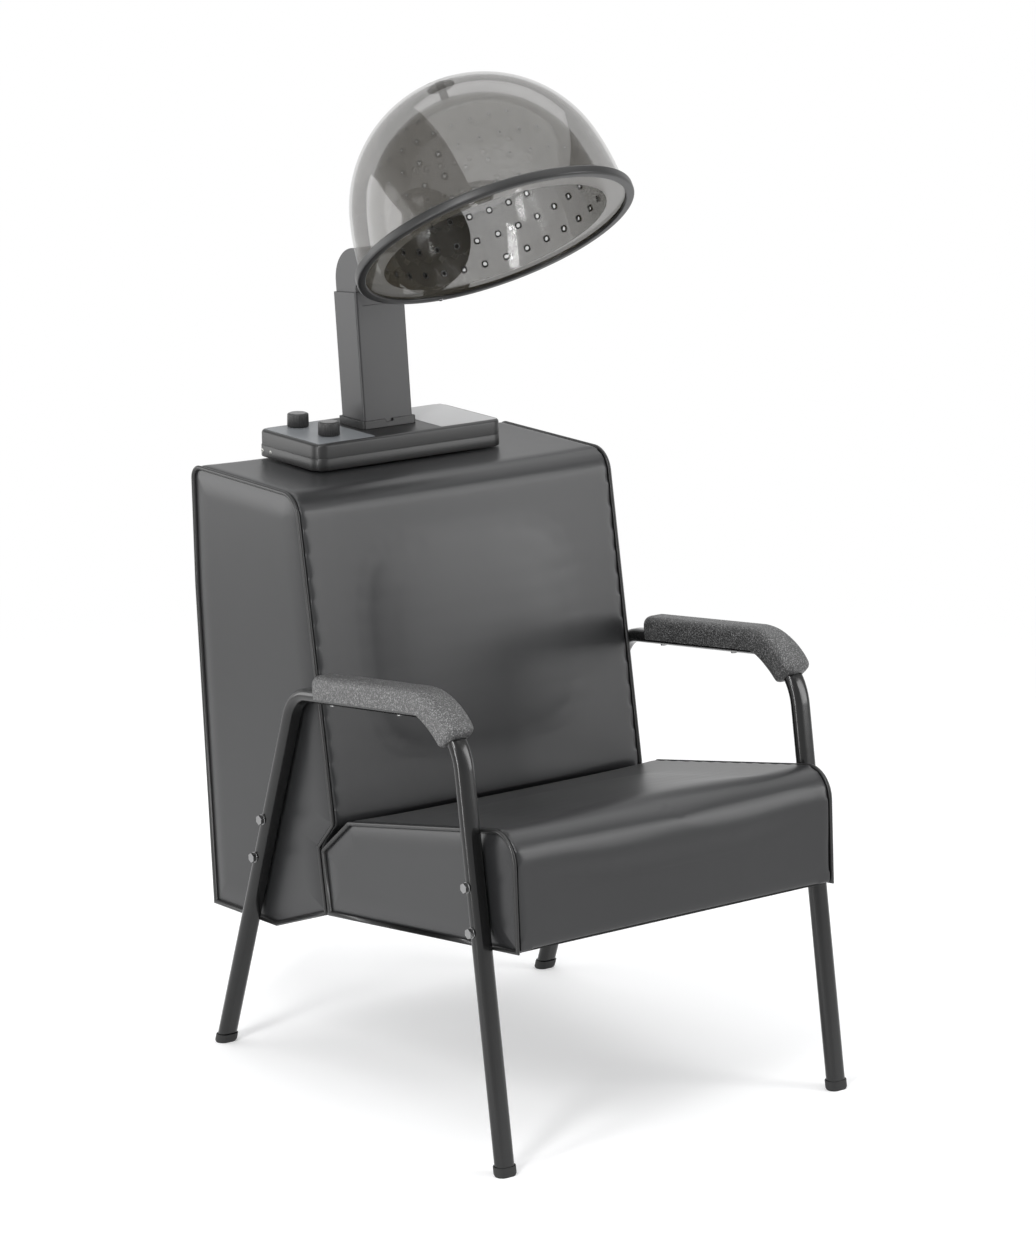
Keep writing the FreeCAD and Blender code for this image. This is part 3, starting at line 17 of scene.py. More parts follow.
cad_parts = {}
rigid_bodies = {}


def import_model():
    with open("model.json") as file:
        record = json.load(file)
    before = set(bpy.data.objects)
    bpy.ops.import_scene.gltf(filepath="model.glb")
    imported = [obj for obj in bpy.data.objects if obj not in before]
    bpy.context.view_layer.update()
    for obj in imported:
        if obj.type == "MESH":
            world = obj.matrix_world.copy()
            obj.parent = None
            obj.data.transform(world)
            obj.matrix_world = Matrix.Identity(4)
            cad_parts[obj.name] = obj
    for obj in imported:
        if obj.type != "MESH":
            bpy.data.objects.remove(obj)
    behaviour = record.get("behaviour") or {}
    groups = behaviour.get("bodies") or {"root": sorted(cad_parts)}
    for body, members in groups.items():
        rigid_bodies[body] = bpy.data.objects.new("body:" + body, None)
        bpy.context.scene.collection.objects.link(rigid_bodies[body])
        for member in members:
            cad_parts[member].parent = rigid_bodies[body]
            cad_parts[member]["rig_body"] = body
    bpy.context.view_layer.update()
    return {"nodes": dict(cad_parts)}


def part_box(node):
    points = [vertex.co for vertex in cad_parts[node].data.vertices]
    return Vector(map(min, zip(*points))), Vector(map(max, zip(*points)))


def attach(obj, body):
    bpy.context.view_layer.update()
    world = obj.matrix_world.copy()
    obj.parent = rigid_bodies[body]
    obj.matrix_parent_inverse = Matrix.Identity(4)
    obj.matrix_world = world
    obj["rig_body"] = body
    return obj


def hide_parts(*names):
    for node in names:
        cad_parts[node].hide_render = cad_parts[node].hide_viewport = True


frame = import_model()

scene = bpy.context.scene
scene.view_settings.view_transform = "Standard"

# %% [markdown]
# ## Millimetres and metres
# The sizes below are the chair's own, in millimetres, with Y measured from the drawing's origin. The solid
# model was then centred on the floor, so one shift along Y joins the two. It is read from the control base,
# whose middle is known in both, and `metres` applies it to whole arrays at once.

# %% From drawing millimetres to metres
def box_of(node):
    """The low and the high corner of a solid part, in metres."""
    return [np.array(corner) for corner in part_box(node)]


base_middle_y = 364.0
tray_low, tray_high = box_of("base_tray")
drawing_shift = (tray_low[1] + tray_high[1]) / 2 - base_middle_y * 0.001


def metres(points):
    """Drawing millimetres to metres: every coordinate times 0.001, then Y moved by the drawing's shift."""
    points = np.asarray(points, float) * 0.001
    points[..., 1] += drawing_shift
    return points


def unit(vectors):
    """Vectors divided by their own lengths."""
    vectors = np.asarray(vectors, float)
    return vectors / np.linalg.norm(vectors, axis=-1, keepdims=True)


def full_turn(count):
    """Equal steps of angle once round; the last step is left out because it is the first again."""
    return np.arange(count) / count * 2 * np.pi


def round_about(radius, angle, level):
    """Points at a radius, an angle and a level about an upright axis."""
    radius, angle, level = np.broadcast_arrays(radius, angle, level)
    return np.stack([radius * np.cos(angle), radius * np.sin(angle), level], -1)


print("the drawing's origin lies %.1f mm along Y" % (drawing_shift * 1000))

# %% [markdown]
# ## From arrays to meshes
# A surface is a grid of points: rows along it and columns round it. Its faces follow from the counts alone, so
# they are worked out by index arithmetic. A closed surface should point outwards, and its signed volume tells:
# where the volume is negative, the faces are turned.

# %% Meshes from grids
def grid_faces(rows, columns, first=0):
    """Quads between neighbouring rows; the last column joins the first.

    The point in row r and column c has the number r * columns + c, counted from first."""
    row = np.arange(rows - 1)[:, None] * columns
    column = np.arange(columns)[None, :]
    following = (column + 1) % columns
    quads = np.stack([row + column, row + following, row + columns + following, row + columns + column], -1)
    return quads.reshape(-1, 4) + first


def mesh_of(name, points, blocks):
    """A mesh from points and blocks of faces, each block an array with one face in a row."""
    points = np.asarray(points, np.float32).reshape(-1, 3)
    blocks = [np.atleast_2d(block) for block in blocks]
    sizes = np.concatenate([np.full(len(block), block.shape[1]) for block in blocks])
    corners = np.concatenate([block.ravel() for block in blocks]).astype(np.int32)
    mesh = bpy.data.meshes.new(name)
    mesh.vertices.add(len(points))
    mesh.vertices.foreach_set("co", points.ravel())
    mesh.loops.add(len(corners))
    mesh.loops.foreach_set("vertex_index", corners)
    mesh.polygons.add(len(sizes))
    mesh.polygons.foreach_set("loop_start", np.concatenate([[0], np.cumsum(sizes)[:-1]]).astype(np.int32))
    mesh.update(calc_edges=True)
    return mesh


def tidy(mesh, merge=1e-5):
    """Merge points that coincide and turn the faces outwards where the signed volume is negative."""
    shape = bmesh.new()
    shape.from_mesh(mesh)
    bmesh.ops.remove_doubles(shape, verts=shape.verts, dist=merge)
    bmesh.ops.recalc_face_normals(shape, faces=shape.faces)
    if shape.calc_volume(signed=True) < 0:
        bmesh.ops.reverse_faces(shape, faces=shape.faces)
    shape.to_mesh(mesh)
    shape.free()
    return mesh


def shade(mesh, angle):
    """Smooth shading, with a hard edge where two faces meet at more than the angle."""
    mesh.polygons.foreach_set("use_smooth", np.ones(len(mesh.polygons), bool))
    mesh.set_sharp_from_angle(angle=math.radians(angle))
    mesh.update()


def in_scene(name, data):
    """A new object in the scene."""
    thing = bpy.data.objects.new(name, data)
    scene.collection.objects.link(thing)
    return thing


def piece(name, mesh, body, material, stands_for=(), angle=35):
    """A finished mesh put into the scene, with its material, the body it rides on and the nodes it replaces."""
    shade(mesh, angle)
    mesh.materials.clear()
    mesh.materials.append(material)
    thing = in_scene(name, mesh)
    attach(thing, body)
    if stands_for:
        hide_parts(*stands_for)
    print(name, "faces", len(mesh.polygons))
    return thing


def capped(name, rings):
    """A closed surface through rings of points, each end covered by one face."""
    rows, columns = rings.shape[:2]
    first = np.arange(columns)[None, ::-1]
    last = np.arange(columns)[None, :] + (rows - 1) * columns
    return tidy(mesh_of(name, rings, [grid_faces(rows, columns), first, last]))


# %% [markdown]
# ## Rounded outlines
# Most of the chair is drawn in its side view: a polygon whose corners are rounded by arcs that touch both
# neighbouring sides. The arc's centre lies on the corner's bisector, radius / sin(half the corner's angle)
# away. An outline is moved in or out by shifting every side and crossing each with the next.

# %% Outlines in the side view
def spun(spoke, turn):
    """A side-view vector turned by each of many angles."""
    cos, sin = np.cos(turn), np.sin(turn)
    return np.stack([spoke[0] * cos - spoke[1] * sin, spoke[0] * sin + spoke[1] * cos], -1)


def corner_arc(previous, corner, following, radius):
    """Half the angle at a corner, the centre of the arc that rounds it, and the arc's first point."""
    before, after = unit(previous - corner), unit(following - corner)
    half = math.acos(np.clip(before @ after, -1, 1)) / 2
    centre = corner + unit(before + after) * radius / math.sin(half)
    return half, centre, corner + before * radius / math.tan(half)


def rounded(corners, radii, steps=8, closed=True):
    """Points along a polygon with rounded corners: each corner gives steps + 1 points at equal turns."""
    corners = np.asarray(corners, float)
    count = len(corners)
    runs = []
    for index, (corner, radius) in enumerate(zip(corners, radii)):
        if radius == 0 or (not closed and index in (0, count - 1)):
            runs.append(np.repeat(corner[None], steps + 1 if closed else 1, 0))
            continue
        previous, following = corners[index - 1], corners[(index + 1) % count]
        half, centre, start = corner_arc(previous, corner, following, radius)
        before, after = corner - previous, following - corner
        side = np.sign(before[0] * after[1] - before[1] * after[0])
        runs.append(centre + spun(start - centre, np.linspace(0, math.pi - 2 * half, steps + 1) * side))
    return np.concatenate(runs)


def crossing(a, b, c, d):
    """Where the line through a and b meets the line through c and d."""
    a, b, c, d = (np.asarray(p, float) for p in (a, b, c, d))
    ab, cd, ac = b - a, d - c, c - a
    share = (ac[0] * cd[1] - ac[1] * cd[0]) / (ab[0] * cd[1] - ab[1] * cd[0])
    return a + ab * share


def offset(corners, moves):
    """Each side of a closed polygon moved outwards by its own distance, and the new corners."""
    corners = np.asarray(corners, float)
    following = np.roll(corners, -1, 0)
    area = np.sum(corners[:, 0] * following[:, 1] - corners[:, 1] * following[:, 0])
    along = unit(following - corners)
    outward = np.stack([along[:, 1], -along[:, 0]], -1) * np.sign(area)
    low = corners + outward * np.asarray(moves, float)[:, None]
    high = following + outward * np.asarray(moves, float)[:, None]
    return np.array([crossing(low[i - 1], high[i - 1], low[i], high[i]) for i in range(len(corners))])


def inset(corners, distance):
    """The polygon moved in on every side by one distance."""
    return offset(corners, [-distance] * len(corners))


def at_height(a, b, height):
    """The place on the line through a and b at a height."""
    share = (height - a[1]) / (b[1] - a[1])
    return (a[0] + (b[0] - a[0]) * share, height)


def standing(line, x):
    """A side view's points placed at x across the chair."""
    return np.column_stack([np.full(len(line), x), line])


def side_prism(name, corners, half_width):
    """A block across the chair with the given side view."""
    return capped(name, metres(np.stack([standing(corners, x) for x in (-half_width, half_width)])))


sides = (("left", -1), ("right", 1))


# %% [markdown]
# ## Finer copies of solid parts
# A hard part whose form is right keeps its shape, but its mesh is loose triangles with knife edges. A copy is
# merged, its flat faces are joined again, and a Bevel modifier rounds every edge a little, because it is on
# the small rounds that a moulded or folded part catches the light.

# %% A bevelled copy of a solid part
def finer(node, material, bevel, segments, angle=30):
    """A merged copy of a node with rounded edges, standing for that node on its own body."""
    source = frame["nodes"][node]
    mesh = source.data.copy()
    mesh.name = node + "_finish"
    shape = bmesh.new()
    shape.from_mesh(mesh)
    bmesh.ops.remove_doubles(shape, verts=shape.verts, dist=1e-5)
    bmesh.ops.dissolve_limit(shape, angle_limit=math.radians(1), verts=shape.verts, edges=shape.edges)
    shape.to_mesh(mesh)
    shape.free()
    copy = piece(mesh.name, mesh, source["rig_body"], material, (node,), angle)
    if bevel:
        rounding = copy.modifiers.new("edge rounds", "BEVEL")
        rounding.width = bevel * 0.001
        rounding.segments = segments
        rounding.limit_method = "ANGLE"
        rounding.angle_limit = math.radians(angle)
        rounding.harden_normals = True
    return copy


# %% [markdown]
# ## Materials
# Each finish is one Principled shader whose colour, roughness and bump come from procedural textures on the
# object's own coordinates. Two effects are shared by many finishes and so are node groups: a fine grain that
# gives a height for the Bump node, and a slow mottle that shifts colour and roughness a little.

# %% Nodes and shared groups
def fill(tree, node, **inputs):
    """Sets or links a node's inputs; an underscore in a name stands for a space in the input's label."""
    for label, value in inputs.items():
        socket = node.inputs[label.replace("_", " ")]
        if isinstance(value, bpy.types.NodeSocket):
            tree.links.new(value, socket)
        else:
            socket.default_value = value
    return node


def add(tree, kind, settings=(), **inputs):
    """A new shader node with its own settings and its inputs."""
    node = tree.nodes.new("ShaderNode" + kind)
    for key, value in dict(settings).items():
        setattr(node, key, value)
    return fill(tree, node, **inputs)


def calc(tree, operation, first, second):
    """A Math node; either value may be a number or a socket."""
    node = add(tree, "Math", {"operation": operation})
    for socket, value in zip(node.inputs, (first, second)):
        if isinstance(value, bpy.types.NodeSocket):
            tree.links.new(value, socket)
        else:
            socket.default_value = value
    return node.outputs[0]


def ranged(tree, value, low, high, start=0.0, end=1.0, kind="LINEAR"):
    """low up to start and high from end on; in between, by the value's share of the way."""
    return add(tree, "MapRange", {"interpolation_type": kind}, Value=value, From_Min=start, From_Max=end,
               To_Min=low, To_Max=high).outputs["Result"]


def mixed(tree, factor, first, second):
    """Between two colours, each a triple or a socket."""
    first, second = ((*colour, 1) if isinstance(colour, tuple) else colour for colour in (first, second))
    return add(tree, "Mix", {"data_type": "RGBA"}, Factor=factor, A=first, B=second).outputs["Result"]


def noise(tree, place, scale, detail=3.0, roughness=0.5):
    """A Noise texture at a place."""
    return add(tree, "TexNoise", Vector=place, Scale=scale, Detail=detail, Roughness=roughness).outputs["Fac"]


def own_place(tree):
    """The object's own coordinates."""
    return add(tree, "TexCoord").outputs["Object"]


def group_with(name, inputs, output):
    """An empty shader node group with named number inputs and one output."""
    group = bpy.data.node_groups.new(name, "ShaderNodeTree")
    for label, value in inputs:
        group.interface.new_socket(label, in_out="INPUT", socket_type="NodeSocketFloat").default_value = value
    group.interface.new_socket(output, in_out="OUTPUT", socket_type="NodeSocketFloat")
    return group, group.nodes.new("NodeGroupInput").outputs, group.nodes.new("NodeGroupOutput")


def make_grain_group():
    """Height of a pebbled skin: distance to the nearest cell middle, softened, plus 0.4 of a finer noise."""
    group, given, result = group_with("pebble grain", [("Scale", 700.0), ("Pebble", 0.6)], "Height")
    place = own_place(group)
    cells = add(group, "TexVoronoi", {"feature": "SMOOTH_F1"}, Vector=place, Scale=given["Scale"],
                Smoothness=0.6)
    pebbles = calc(group, "MULTIPLY", cells.outputs["Distance"], given["Pebble"])
    fine = noise(group, place, calc(group, "MULTIPLY", given["Scale"], 1.7), 2.0)
    fill(group, result, Height=calc(group, "ADD", pebbles, calc(group, "MULTIPLY", fine, 0.4)))
    return group


def make_mottle_group():
    """Slow variation from 0 to 1: 0.65 of a broad noise and 0.35 of one nine times finer."""
    group, given, result = group_with("slow mottle", [("Scale", 6.0)], "Fac")
    place = own_place(group)
    broad = noise(group, place, given["Scale"], 2.0)
    small = noise(group, place, calc(group, "MULTIPLY", given["Scale"], 9.0), 4.0)
    fill(group, result, Fac=calc(group, "ADD", calc(group, "MULTIPLY", broad, 0.65),
                                 calc(group, "MULTIPLY", small, 0.35)))
    return group


grain_group = make_grain_group()
mottle_group = make_mottle_group()


# %% One function for most finishes
def blank(name):
    """A new material, its node tree and its Principled shader."""
    material = bpy.data.materials.new(name)
    material.use_nodes = True
    return material, material.node_tree, material.node_tree.nodes["Principled BSDF"]


def mottled(tree, scale):
    """The slow mottle at a scale."""
    return add(tree, "Group", {"node_tree": mottle_group}, Scale=scale).outputs["Fac"]


def finish(name, dark, light, rough=(0.4, 0.5), grain=700.0, bump=0.1, depth=0.2, mottle=6.0, pebble=0.6,
           speckle=None, **constants):
    """Colour between dark and light and roughness between two values by the mottle; bump from the grain.

    depth is the grain's height in millimetres. A speckle of (colour, scale) shows where a noise is high.
    Other constants go straight to the shader's own sockets."""
    material, tree, shader = blank(name)
    slow = mottled(tree, mottle)
    shown = mixed(tree, slow, dark, light)
    if speckle:
        spots = noise(tree, own_place(tree), speckle[1], 2.0, 0.6)
        shown = mixed(tree, ranged(tree, spots, 0, 1, 0.5, 0.66), shown, speckle[0])
    fill(tree, shader, Base_Color=shown, Roughness=ranged(tree, slow, *rough), **constants)
    if bump:
        skin = add(tree, "Group", {"node_tree": grain_group}, Scale=grain, Pebble=pebble)
        relief = add(tree, "Bump", Height=skin.outputs["Height"], Strength=bump, Distance=depth * 0.001)
        fill(tree, shader, Normal=relief.outputs["Normal"])
    return material


def grey(value):
    return (value, value, value)


vinyl = finish("black vinyl", (0.014, 0.0143, 0.0150), (0.020, 0.0203, 0.0212), (0.31, 0.38), 900, 0.3, 0.12)
welt_vinyl = finish("welt vinyl", grey(0.012), grey(0.018), (0.3, 0.36), 1200, 0.15, 0.08)
tube_paint = finish("black tube enamel", grey(0.006), grey(0.009), (0.16, 0.22), 260, 0.05, 0.1, 14, 0.0)
# The light grey speckle in the pad's colour is partly the skin's own speckled tone and partly painted
# highlight: it stands in for glints on the pebbles.
pad_skin = finish("pebbled pad plastic", grey(0.016), grey(0.024), (0.42, 0.55), 620, 0.9, 0.9, 60, 0.8,
                  (grey(0.20), 520), Specular_IOR_Level=0.9)
chrome = finish("dark plated steel", grey(0.2), grey(0.3), (0.12, 0.24), 500, 0.05, 0.05, 40, Metallic=1.0)
steel = finish("zinc steel", (0.40, 0.40, 0.38), (0.52, 0.52, 0.50), (0.3, 0.42), 500, 0.08, 0.05, 40,
               Metallic=1.0)
cloth = finish("black cover cloth", grey(0.012), grey(0.022), (0.85, 0.95), 1500, 0.5, 0.3)
base_plastic = finish("satin black plastic", grey(0.010), grey(0.014), (0.34, 0.42), 1500, 0.15, 0.06)
column_paint = finish("dark grey satin paint", (0.019, 0.019, 0.020), (0.025, 0.025, 0.026), (0.33, 0.4), 1800,
                      0.12, 0.05)
plate_grey = finish("grey control plate", (0.16, 0.17, 0.18), (0.2, 0.21, 0.22), (0.35, 0.42), 900, 0.05, 0.04)
plate_silver = finish("silver plate", (0.38, 0.38, 0.38), (0.48, 0.48, 0.48), (0.32, 0.4), 900, 0.05, 0.04)
knob_black = finish("knob black", grey(0.02), grey(0.026), (0.4, 0.48), 1500, 0.1, 0.05)
cap_grey = finish("knob cap grey", grey(0.10), grey(0.13), (0.3, 0.36), 900, 0.06, 0.04)
rubber = finish("glide rubber", grey(0.012), grey(0.02), (0.6, 0.75), 900, 0.2, 0.15)
foam = finish("filter foam", grey(0.03), grey(0.06), (0.9, 1.0), 700, 0.9, 0.8, 40)
friction = finish("friction washer", (0.2, 0.1, 0.04), (0.28, 0.15, 0.07), (0.6, 0.7), 900, 0.1, 0.1)
mica = finish("mica heater board", (0.55, 0.45, 0.28), (0.68, 0.58, 0.4), (0.4, 0.5), 500, 0.1, 0.1)
plug_black = finish("plug black", grey(0.006), grey(0.009), (0.6, 0.7), 1500, 0.1, 0.05,
                    Specular_IOR_Level=0.15)
# Near-black frame boards: painted shade, so that where the seat's board shows under the cushion's front edge it
# reads as the shade there, not as wood.
board_painted_shade = finish("frame board in painted shade black", grey(0.008), grey(0.014), (0.7, 0.8), 300, 0.2, 0.2, 12)
plenum_black = finish("plenum black", (0.006, 0.005, 0.004), (0.009, 0.008, 0.006), (0.34, 0.42), 1500, 0.05,
                      0.05)


# %% [markdown]
# ## Smoked clear plastic
# Both domes are clear brown-grey plastic. What is behind shows through each wall, darker where the line of
# sight runs along it, and the studio's lights mirror on the skin. So the alpha rises towards grazing angles
# with the Layer Weight node's facing value. Alpha thins the gloss too, so the index of refraction is set higher
# than plastic's 1.5: at an alpha near 0.3 the gloss left is then as strong as on a clear plastic skin.

# %% The domes' finish
dome_index = 1.85
dome_gloss = 0.9
grazing_blend = 0.35


def smoked(name, tint, clear, edge, rough):
    """Principled plastic whose alpha goes from clear, seen straight on, to edge at grazing angles."""
    material, tree, shader = blank(name)
    slow = mottled(tree, 3.0)
    dark, light = (tuple(channel * share for channel in tint) for share in (0.9, 1.1))
    facing = add(tree, "LayerWeight", Blend=grazing_blend).outputs["Facing"]
    fill(tree, shader, Base_Color=mixed(tree, slow, dark, light), Alpha=ranged(tree, facing, clear, edge),
         Roughness=ranged(tree, slow, rough, rough + 0.03), IOR=dome_index, Specular_IOR_Level=dome_gloss)
    return material


smoke_outer = smoked("smoked outer dome", (0.046, 0.039, 0.028), 0.28, 0.42, 0.02)
smoke_inner = smoked("smoked inner dome", (0.080, 0.070, 0.050), 0.36, 0.72, 0.02)
# Near-opaque dark smoke for the faces round each hole's edge: painted shade that draws a dark ring round every
# hole.
hole_ring_painted_shade = smoked("painted shade at hole edges", (0.008, 0.007, 0.006), 0.97, 0.99, 0.08)
print("materials:", len(bpy.data.materials))

# %% [markdown]
# ## Camera
# The photograph was taken with a long lens from the chair's front left, a little above the seat's level looking
# down. The camera's back vector comes from its two angles, and its roll is a small turn about the view axis.

# %% The camera
camera_azimuth = math.radians(-36.16)
camera_height = math.radians(13.71)
camera_roll = math.radians(-0.21)
camera_place = (-3.814, -5.243, 2.250)
lens_length = 131.9

camera_data = bpy.data.cameras.new("camera")
camera_data.sensor_width = 36.0
camera_data.lens = lens_length
camera_data.clip_end = 100.0
camera = in_scene("camera", camera_data)
scene.camera = camera
back = Vector((math.sin(camera_azimuth) * math.cos(camera_height),
               -math.cos(camera_azimuth) * math.cos(camera_height), math.sin(camera_height)))
turned = (-back).to_track_quat("-Z", "Y").to_matrix().to_4x4()
camera.matrix_world = Matrix.Translation(camera_place) @ turned @ Matrix.Rotation(camera_roll, 4, "Z")
print("camera at", tuple(round(value, 3) for value in camera.location))

# %% [markdown]
# ## Studio
# The set is a white sweep. The world is white where the camera or clear plastic sees it. A glossy skin mirrors
# that white only from low down behind the chair, and something dimmer from above and in front, so that black
# parts stay black. As a light the world is a plain grey. The floor gives back the lamps' light near the chair,
# so that shadows stay, and turns to plain white further out.

# %% World, floor and lamps
world_light = (0.45, 0.455, 0.465)
mirror_share = 0.3
behind_range = (-0.15, 0.4)
high_range = (0.14, 0.46)
floor_glow = 0.3


def make_world():
    """White for the camera and through clear plastic, dimmer for mirrors as set above, grey as a light."""
    world = bpy.data.worlds.new("studio")
    world.use_nodes = True
    tree = world.node_tree
    path = add(tree, "LightPath").outputs
    direction = add(tree, "SeparateXYZ", Vector=add(tree, "TexCoord").outputs["Generated"]).outputs
    behind = ranged(tree, direction["Y"], mirror_share, 1, *behind_range, "SMOOTHSTEP")
    high = ranged(tree, direction["Z"], 1, mirror_share, *high_range, "SMOOTHSTEP")
    mirrored = calc(tree, "MULTIPLY", path["Is Glossy Ray"], calc(tree, "MINIMUM", behind, high))
    seen = calc(tree, "MAXIMUM", path["Is Camera Ray"], path["Is Transmission Ray"])
    colour = mixed(tree, calc(tree, "MAXIMUM", seen, mirrored), world_light, (1.0, 1.0, 1.0))
    fill(tree, tree.nodes["Background"], Color=colour)
    scene.world = world


def joined(tree, kind, first, second, factor=None):
    """Two shaders added, or mixed by a factor."""
    node = add(tree, kind) if factor is None else add(tree, kind, Fac=factor)
    tree.links.new(first, node.inputs[-2])
    tree.links.new(second, node.inputs[-1])
    return node.outputs["Shader"]


def make_floor(radius=26.0, near=1.4, far=3.2):
    """A disc at floor level: lit by the lamps near the chair, turning to plain white further out."""
    angle = full_turn(96)
    reach = np.array([radius, 8.0, 3.5, 2.0, 1.2, 0.6])
    middle = np.arange(len(angle))[None] + (len(reach) - 1) * len(angle)
    rings = round_about(reach[:, None], angle, 0.0)
    mesh = mesh_of("floor", rings, [grid_faces(len(reach), len(angle)), middle])
    material, tree, shader = blank("studio floor")
    fill(tree, shader, Base_Color=(0.8, 0.8, 0.8, 1), Roughness=0.9, Specular_IOR_Level=0.1)
    length = add(tree, "VectorMath", {"operation": "LENGTH"}, Vector=own_place(tree)).outputs["Value"]
    fade = ranged(tree, length, 0, 1, near, far, "SMOOTHSTEP")
    path = add(tree, "LightPath").outputs
    seen = calc(tree, "MAXIMUM", calc(tree, "MAXIMUM", path["Is Camera Ray"], path["Is Transmission Ray"]),
                path["Is Glossy Ray"])
    glow = add(tree, "Emission", Strength=floor_glow).outputs[0]
    lit = joined(tree, "AddShader", shader.outputs["BSDF"], glow)
    shown = joined(tree, "MixShader", lit, add(tree, "Emission").outputs[0], fade)
    shown = joined(tree, "MixShader", shader.outputs["BSDF"], shown, seen)
    fill(tree, tree.nodes["Material Output"], Surface=shown)
    mesh.materials.append(material)
    in_scene("floor", mesh)


def softbox(name, place, aim, width, height, power):
    """A rectangular lamp at a place, facing the aim."""
    data = bpy.data.lights.new(name, "AREA")
    data.shape = "RECTANGLE"
    data.size = width
    data.size_y = height
    data.energy = power
    lamp = in_scene(name, data)
    lamp.location = place
    lamp.rotation_euler = (Vector(place) - Vector(aim)).to_track_quat("Z", "Y").to_euler()


make_world()
make_floor()
softbox("overhead softbox", (0.75, 0.1, 3.5), (0.7, 0.0, 0.0), 4.0, 4.6, 78)
softbox("high left strip", (-2.7, -1.5, 2.9), (0, 0, 1.1), 0.5, 1.4, 50)
softbox("low left strip", (-3.0, -0.9, 1.0), (0, 0, 0.7), 0.4, 1.6, 30)
softbox("right softbox", (2.7, -3.0, 1.9), (0, 0, 0.9), 1.3, 2.4, 58)
softbox("rear left softbox", (-2.2, 2.3, 1.15), (-0.2, 0.2, 0.8), 2.2, 1.5, 28)

# %% [markdown]
# ## Side frames
# Each side frame is one steel tube of flat oval section, 30 mm across the chair and 20 mm in its own plane,
# bent twice: a wide bend over the front leg and a tighter one over the rear leg. It is made by carrying the
# section along the bent line, and its ends stand in the glides.

# %% The bent tubes
frame_x = 300.0
tube_width = 30.0
tube_depth = 20.0
frame_corners = np.array([(-360.0, 0.0), (-255.0, 640.0), (149.6, 587.3), (359.0, 0.0)])
frame_radii = (0, 82.0, 60.0, 0)
tube_foot = 6.0


def oval(width, depth, steps=10):
    """A flat oval about the origin: half circles at both ends of a straight stretch."""
    turn = np.linspace(-np.pi / 2, np.pi / 2, steps + 1)
    radius = depth / 2
    right = np.stack([width / 2 - radius + radius * np.cos(turn), radius * np.sin(turn)], -1)
    return np.concatenate([right, -right])


def path_normals(path):
    """Normals of an open line: halfway between both stretches, longer by 1 / cos of half the turn."""
    stretch = unit(np.diff(path, axis=0))
    before = np.concatenate([stretch[:1], stretch])
    after = np.concatenate([stretch, stretch[-1:]])
    along = unit(before + after)
    along = along / np.sum(along * before, -1, keepdims=True)
    return np.stack([-along[:, 1], along[:, 0]], -1)


def carried(path, section, x):
    """A section of (across, out) places carried along a line of (y, z) places, standing at x."""
    normals = path_normals(path)
    rings = np.empty((len(path), len(section), 3))
    rings[..., 0] = x + section[None, :, 0]
    rings[..., 1:] = path[:, None] + section[None, :, 1, None] * normals[:, None]
    return rings


frame_line = rounded(frame_corners, frame_radii, 18, False)
frame_line[0] = at_height(frame_corners[0], frame_corners[1], tube_foot)
frame_line[-1] = at_height(frame_corners[3], frame_corners[2], tube_foot)


def tube_along(name, x, extra=0.0):
    """The tube's closed surface at x, grown by an extra all round."""
    section = oval(tube_width + 2 * extra, tube_depth + 2 * extra)
    return capped(name, metres(carried(frame_line, section, x)))


for side_name, side in sides:
    name = "tube_frame_" + side_name
    tube = tube_along(name, side * frame_x)
    piece(name, tube, "chair", tube_paint, ("side_frame_" + side_name,))
finer("foot_glides", rubber, 0.8, 3)

# %% [markdown]
# ## Armrest pads
# A pad is one moulded piece: a cap over the straight armrest that closes round the tube in the front bend and
# ends in a rounded nose. Its section is a rounded rectangle whose size changes along the tube, so it is given
# by a few shares of its full size, read off smoothly in between. The tube's own space is then cut out of it.

# %% Pad shape
pad_width = 45.0
pad_height = 33.0
pad_under = 21.0
pad_setback = 72.0
pad_wrap = 58.0
pad_corner = 13.0
pad_least = 1.5
pad_end_round = 9.0
end_blunt = 0.96
side_draw = 0.8
corner_share = 0.42
edge_share = 0.6
run_crowding = 1.6
wrap_places = (0.0, 0.12, 0.3, 0.5, 0.7, 0.88, 0.97, 1.0)
wrap_under = (0.0, 0.22, 0.56, 0.84, 0.97, 1.0, 0.96, 0.9)
wrap_top = (1.0, 0.98, 0.95, 0.9, 0.87, 0.85, 0.83, 0.8)
wrap_width = (1.0, 1.0, 1.0, 1.0, 1.0, 0.99, 0.97, 0.94)
fit_gap = 0.3


def smooth_shares(at, places, values):
    """Values read between a table's places, with slopes averaged from both sides so that no kink shows."""
    places, values = np.asarray(places, float), np.asarray(values, float)
    slopes = np.gradient(values, places)
    index = np.clip(np.searchsorted(places, at, side="right") - 1, 0, len(places) - 2)
    width = places[index + 1] - places[index]
    t = (at - places[index]) / width
    low, high = values[index], values[index + 1]
    return (low * (1 + 2 * t) * (1 - t) ** 2 + slopes[index] * width * t * (1 - t) ** 2
            + high * t ** 2 * (3 - 2 * t) + slopes[index + 1] * width * t ** 2 * (t - 1))


